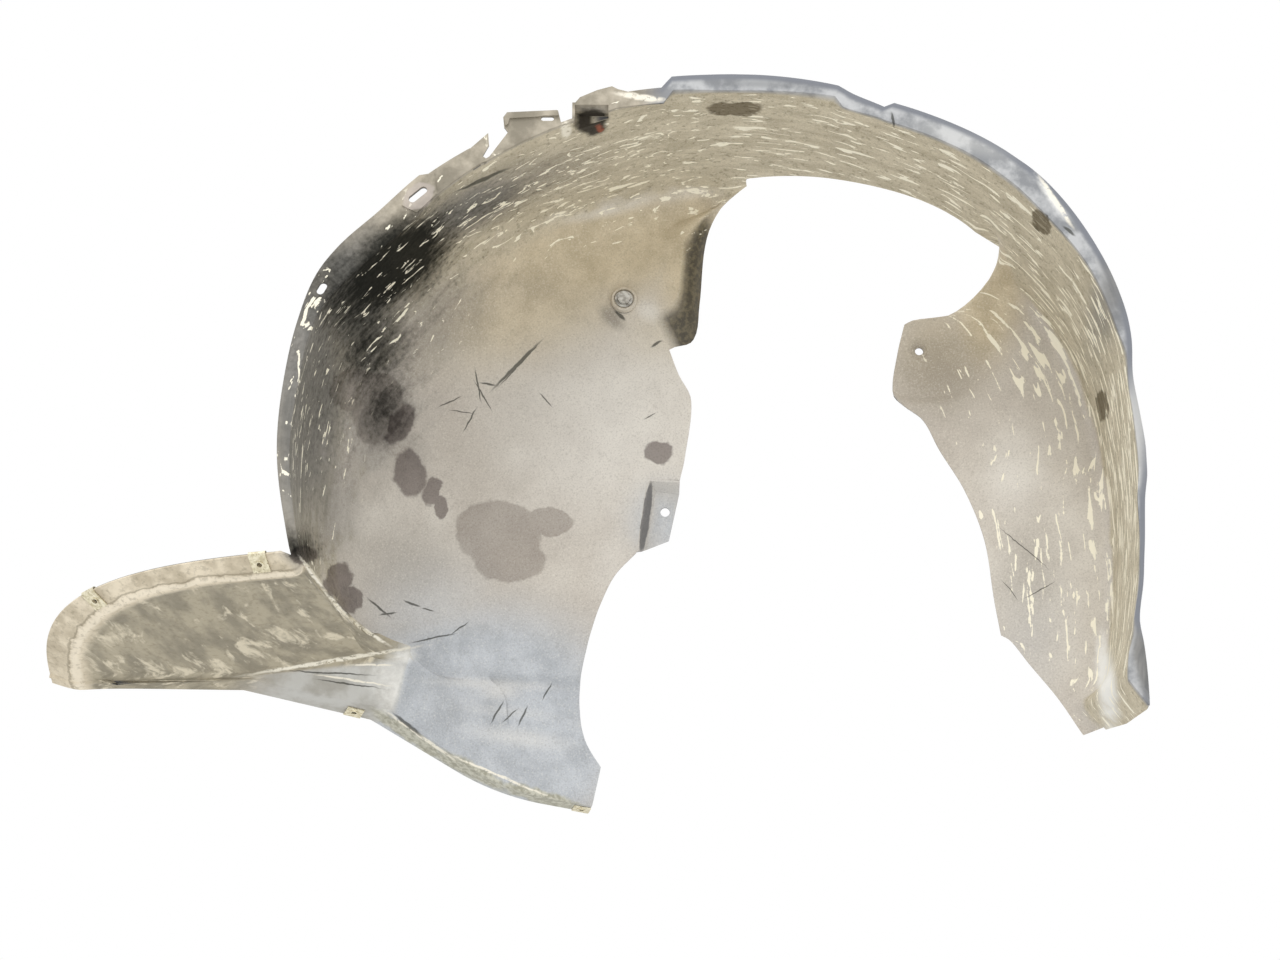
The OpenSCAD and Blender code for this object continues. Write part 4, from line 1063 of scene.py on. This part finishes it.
    rough = k.ramp(small, 0.3, 0.7, 0.5, 0.68)
    rough = k.math("ADD", rough, k.times(muddy, 0.2))
    rough = k.math("SUBTRACT", rough, k.times(stain, 0.15), clamp=True)
    k.put(k.bsdf.inputs["Roughness"], rough)
    height = k.math("ADD", k.times(grain, 0.2), k.times(small, 0.3))
    caked = k.math("MAXIMUM", k.attr("band"), k.attr("tongue"))
    height = k.math("ADD", height, k.times(k.times(caked, blotches), 0.9))
    k.bump(height, 0.6, 0.0012)
    return k.mat


def zinc_look(name, bright, dull, rust):
    k = Look(name, Metallic=0.85)
    cloud = k.noise(k.place, 260, 4, 0.6)
    fine = k.noise(k.place, 1500, 3, 0.6)
    base = k.mix(k.ramp(cloud, 0.35, 0.65), bright, dull)
    stain = k.ramp(k.noise(k.place, 420, 4, 0.65), 0.58, 0.7, 0, 0.8)
    base = k.mix(stain, base, rust)
    k.put(k.bsdf.inputs["Base Color"], base)
    k.put(k.bsdf.inputs["Roughness"], k.ramp(cloud, 0.3, 0.7, 0.38, 0.6))
    k.bump(fine, 0.35, 0.0002)
    return k.mat


def wear(obj, mat):
    obj.data.materials.clear()
    obj.data.materials.append(mat)


dress(liner)
liner.name = "liner_moulding"
wear(liner, moulding_look())
liner.data.shade_smooth()
liner.data.set_sharp_from_angle(angle=math.radians(32))
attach(liner, "root")
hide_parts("liner")
clip_zinc = zinc_look("clip_zinc", srgb(240, 233, 208), srgb(206, 197, 168), srgb(120, 96, 62))
for name in CLIPS:
    wear(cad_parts[name], clip_zinc)
screw_zinc = zinc_look("screw_zinc", srgb(206, 204, 198), srgb(160, 156, 148), srgb(110, 96, 76))
wear(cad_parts["bowl_screw"], screw_zinc)

LIT_POINT = (0, 0.1, 0)
FLOOR_HALF, FLOOR_LEVEL = 40, -1.1


def area_light(name, place, size, power):
    data = bpy.data.lights.new(name, "AREA")
    data.shape, data.size, data.energy = "DISK", size, power
    obj = bpy.data.objects.new(name, data)
    obj.location = place
    obj.rotation_euler = (Vector(LIT_POINT) - Vector(place)).to_track_quat("-Z", "Y").to_euler()
    bpy.context.scene.collection.objects.link(obj)


area_light("overhead", (-0.5, -1.6, 2.6), 2.6, 46)
area_light("front", (0.6, -3.2, 0.2), 2.2, 16)

floor_mesh = bpy.data.meshes.new("floor")
corners = ((-1, -1), (1, -1), (1, 1), (-1, 1))
floor_corners = [(x * FLOOR_HALF, y * FLOOR_HALF, FLOOR_LEVEL) for x, y in corners]
floor_mesh.from_pydata(floor_corners, [], [(0, 1, 2, 3)])
floor = bpy.data.objects.new("floor", floor_mesh)
bpy.context.scene.collection.objects.link(floor)
paint = Look("floor_paint", Roughness=0.8)
worn = paint.ramp(paint.noise(paint.place, 3, 2), 0.3, 0.7)
paint.fill(paint.bsdf, Base_Color=paint.mix(worn, srgb(240, 240, 239), srgb(242, 242, 241)))
wear(floor, paint.mat)

world = bpy.data.worlds.new("studio")
world.use_nodes = True
bpy.context.scene.world = world
nodes, links = world.node_tree.nodes, world.node_tree.links
nodes.clear()


def background(strength):
    node = nodes.new("ShaderNodeBackground")
    node.inputs["Color"].default_value = (1, 1, 1, 1)
    node.inputs["Strength"].default_value = strength
    return node.outputs[0]


def either(a, b):
    node = nodes.new("ShaderNodeMath")
    node.operation = "MAXIMUM"
    links.new(a, node.inputs[0])
    links.new(b, node.inputs[1])
    return node.outputs[0]


# As a light the room is a little darker than where it is seen, straight or in a reflection
ray = nodes.new("ShaderNodeLightPath").outputs
looked_at = either(ray["Is Camera Ray"], either(ray["Is Glossy Ray"], ray["Is Transmission Ray"]))
sky = nodes.new("ShaderNodeMixShader")
links.new(looked_at, sky.inputs[0])
links.new(background(0.88), sky.inputs[1])
links.new(background(1.0), sky.inputs[2])
links.new(sky.outputs[0], nodes.new("ShaderNodeOutputWorld").inputs[0])

# The photograph's camera, tilted up by 20 degrees
scene = bpy.context.scene
scene.view_settings.view_transform = "Standard"
lens = bpy.data.cameras.new("camera")
lens.lens, lens.sensor_width = 89.9, 36
camera = bpy.data.objects.new("camera", lens)
camera.location = (-0.065, -2.6311, -0.9717)
camera.rotation_euler = (math.radians(110), 0, 0)
scene.collection.objects.link(camera)
scene.camera = camera
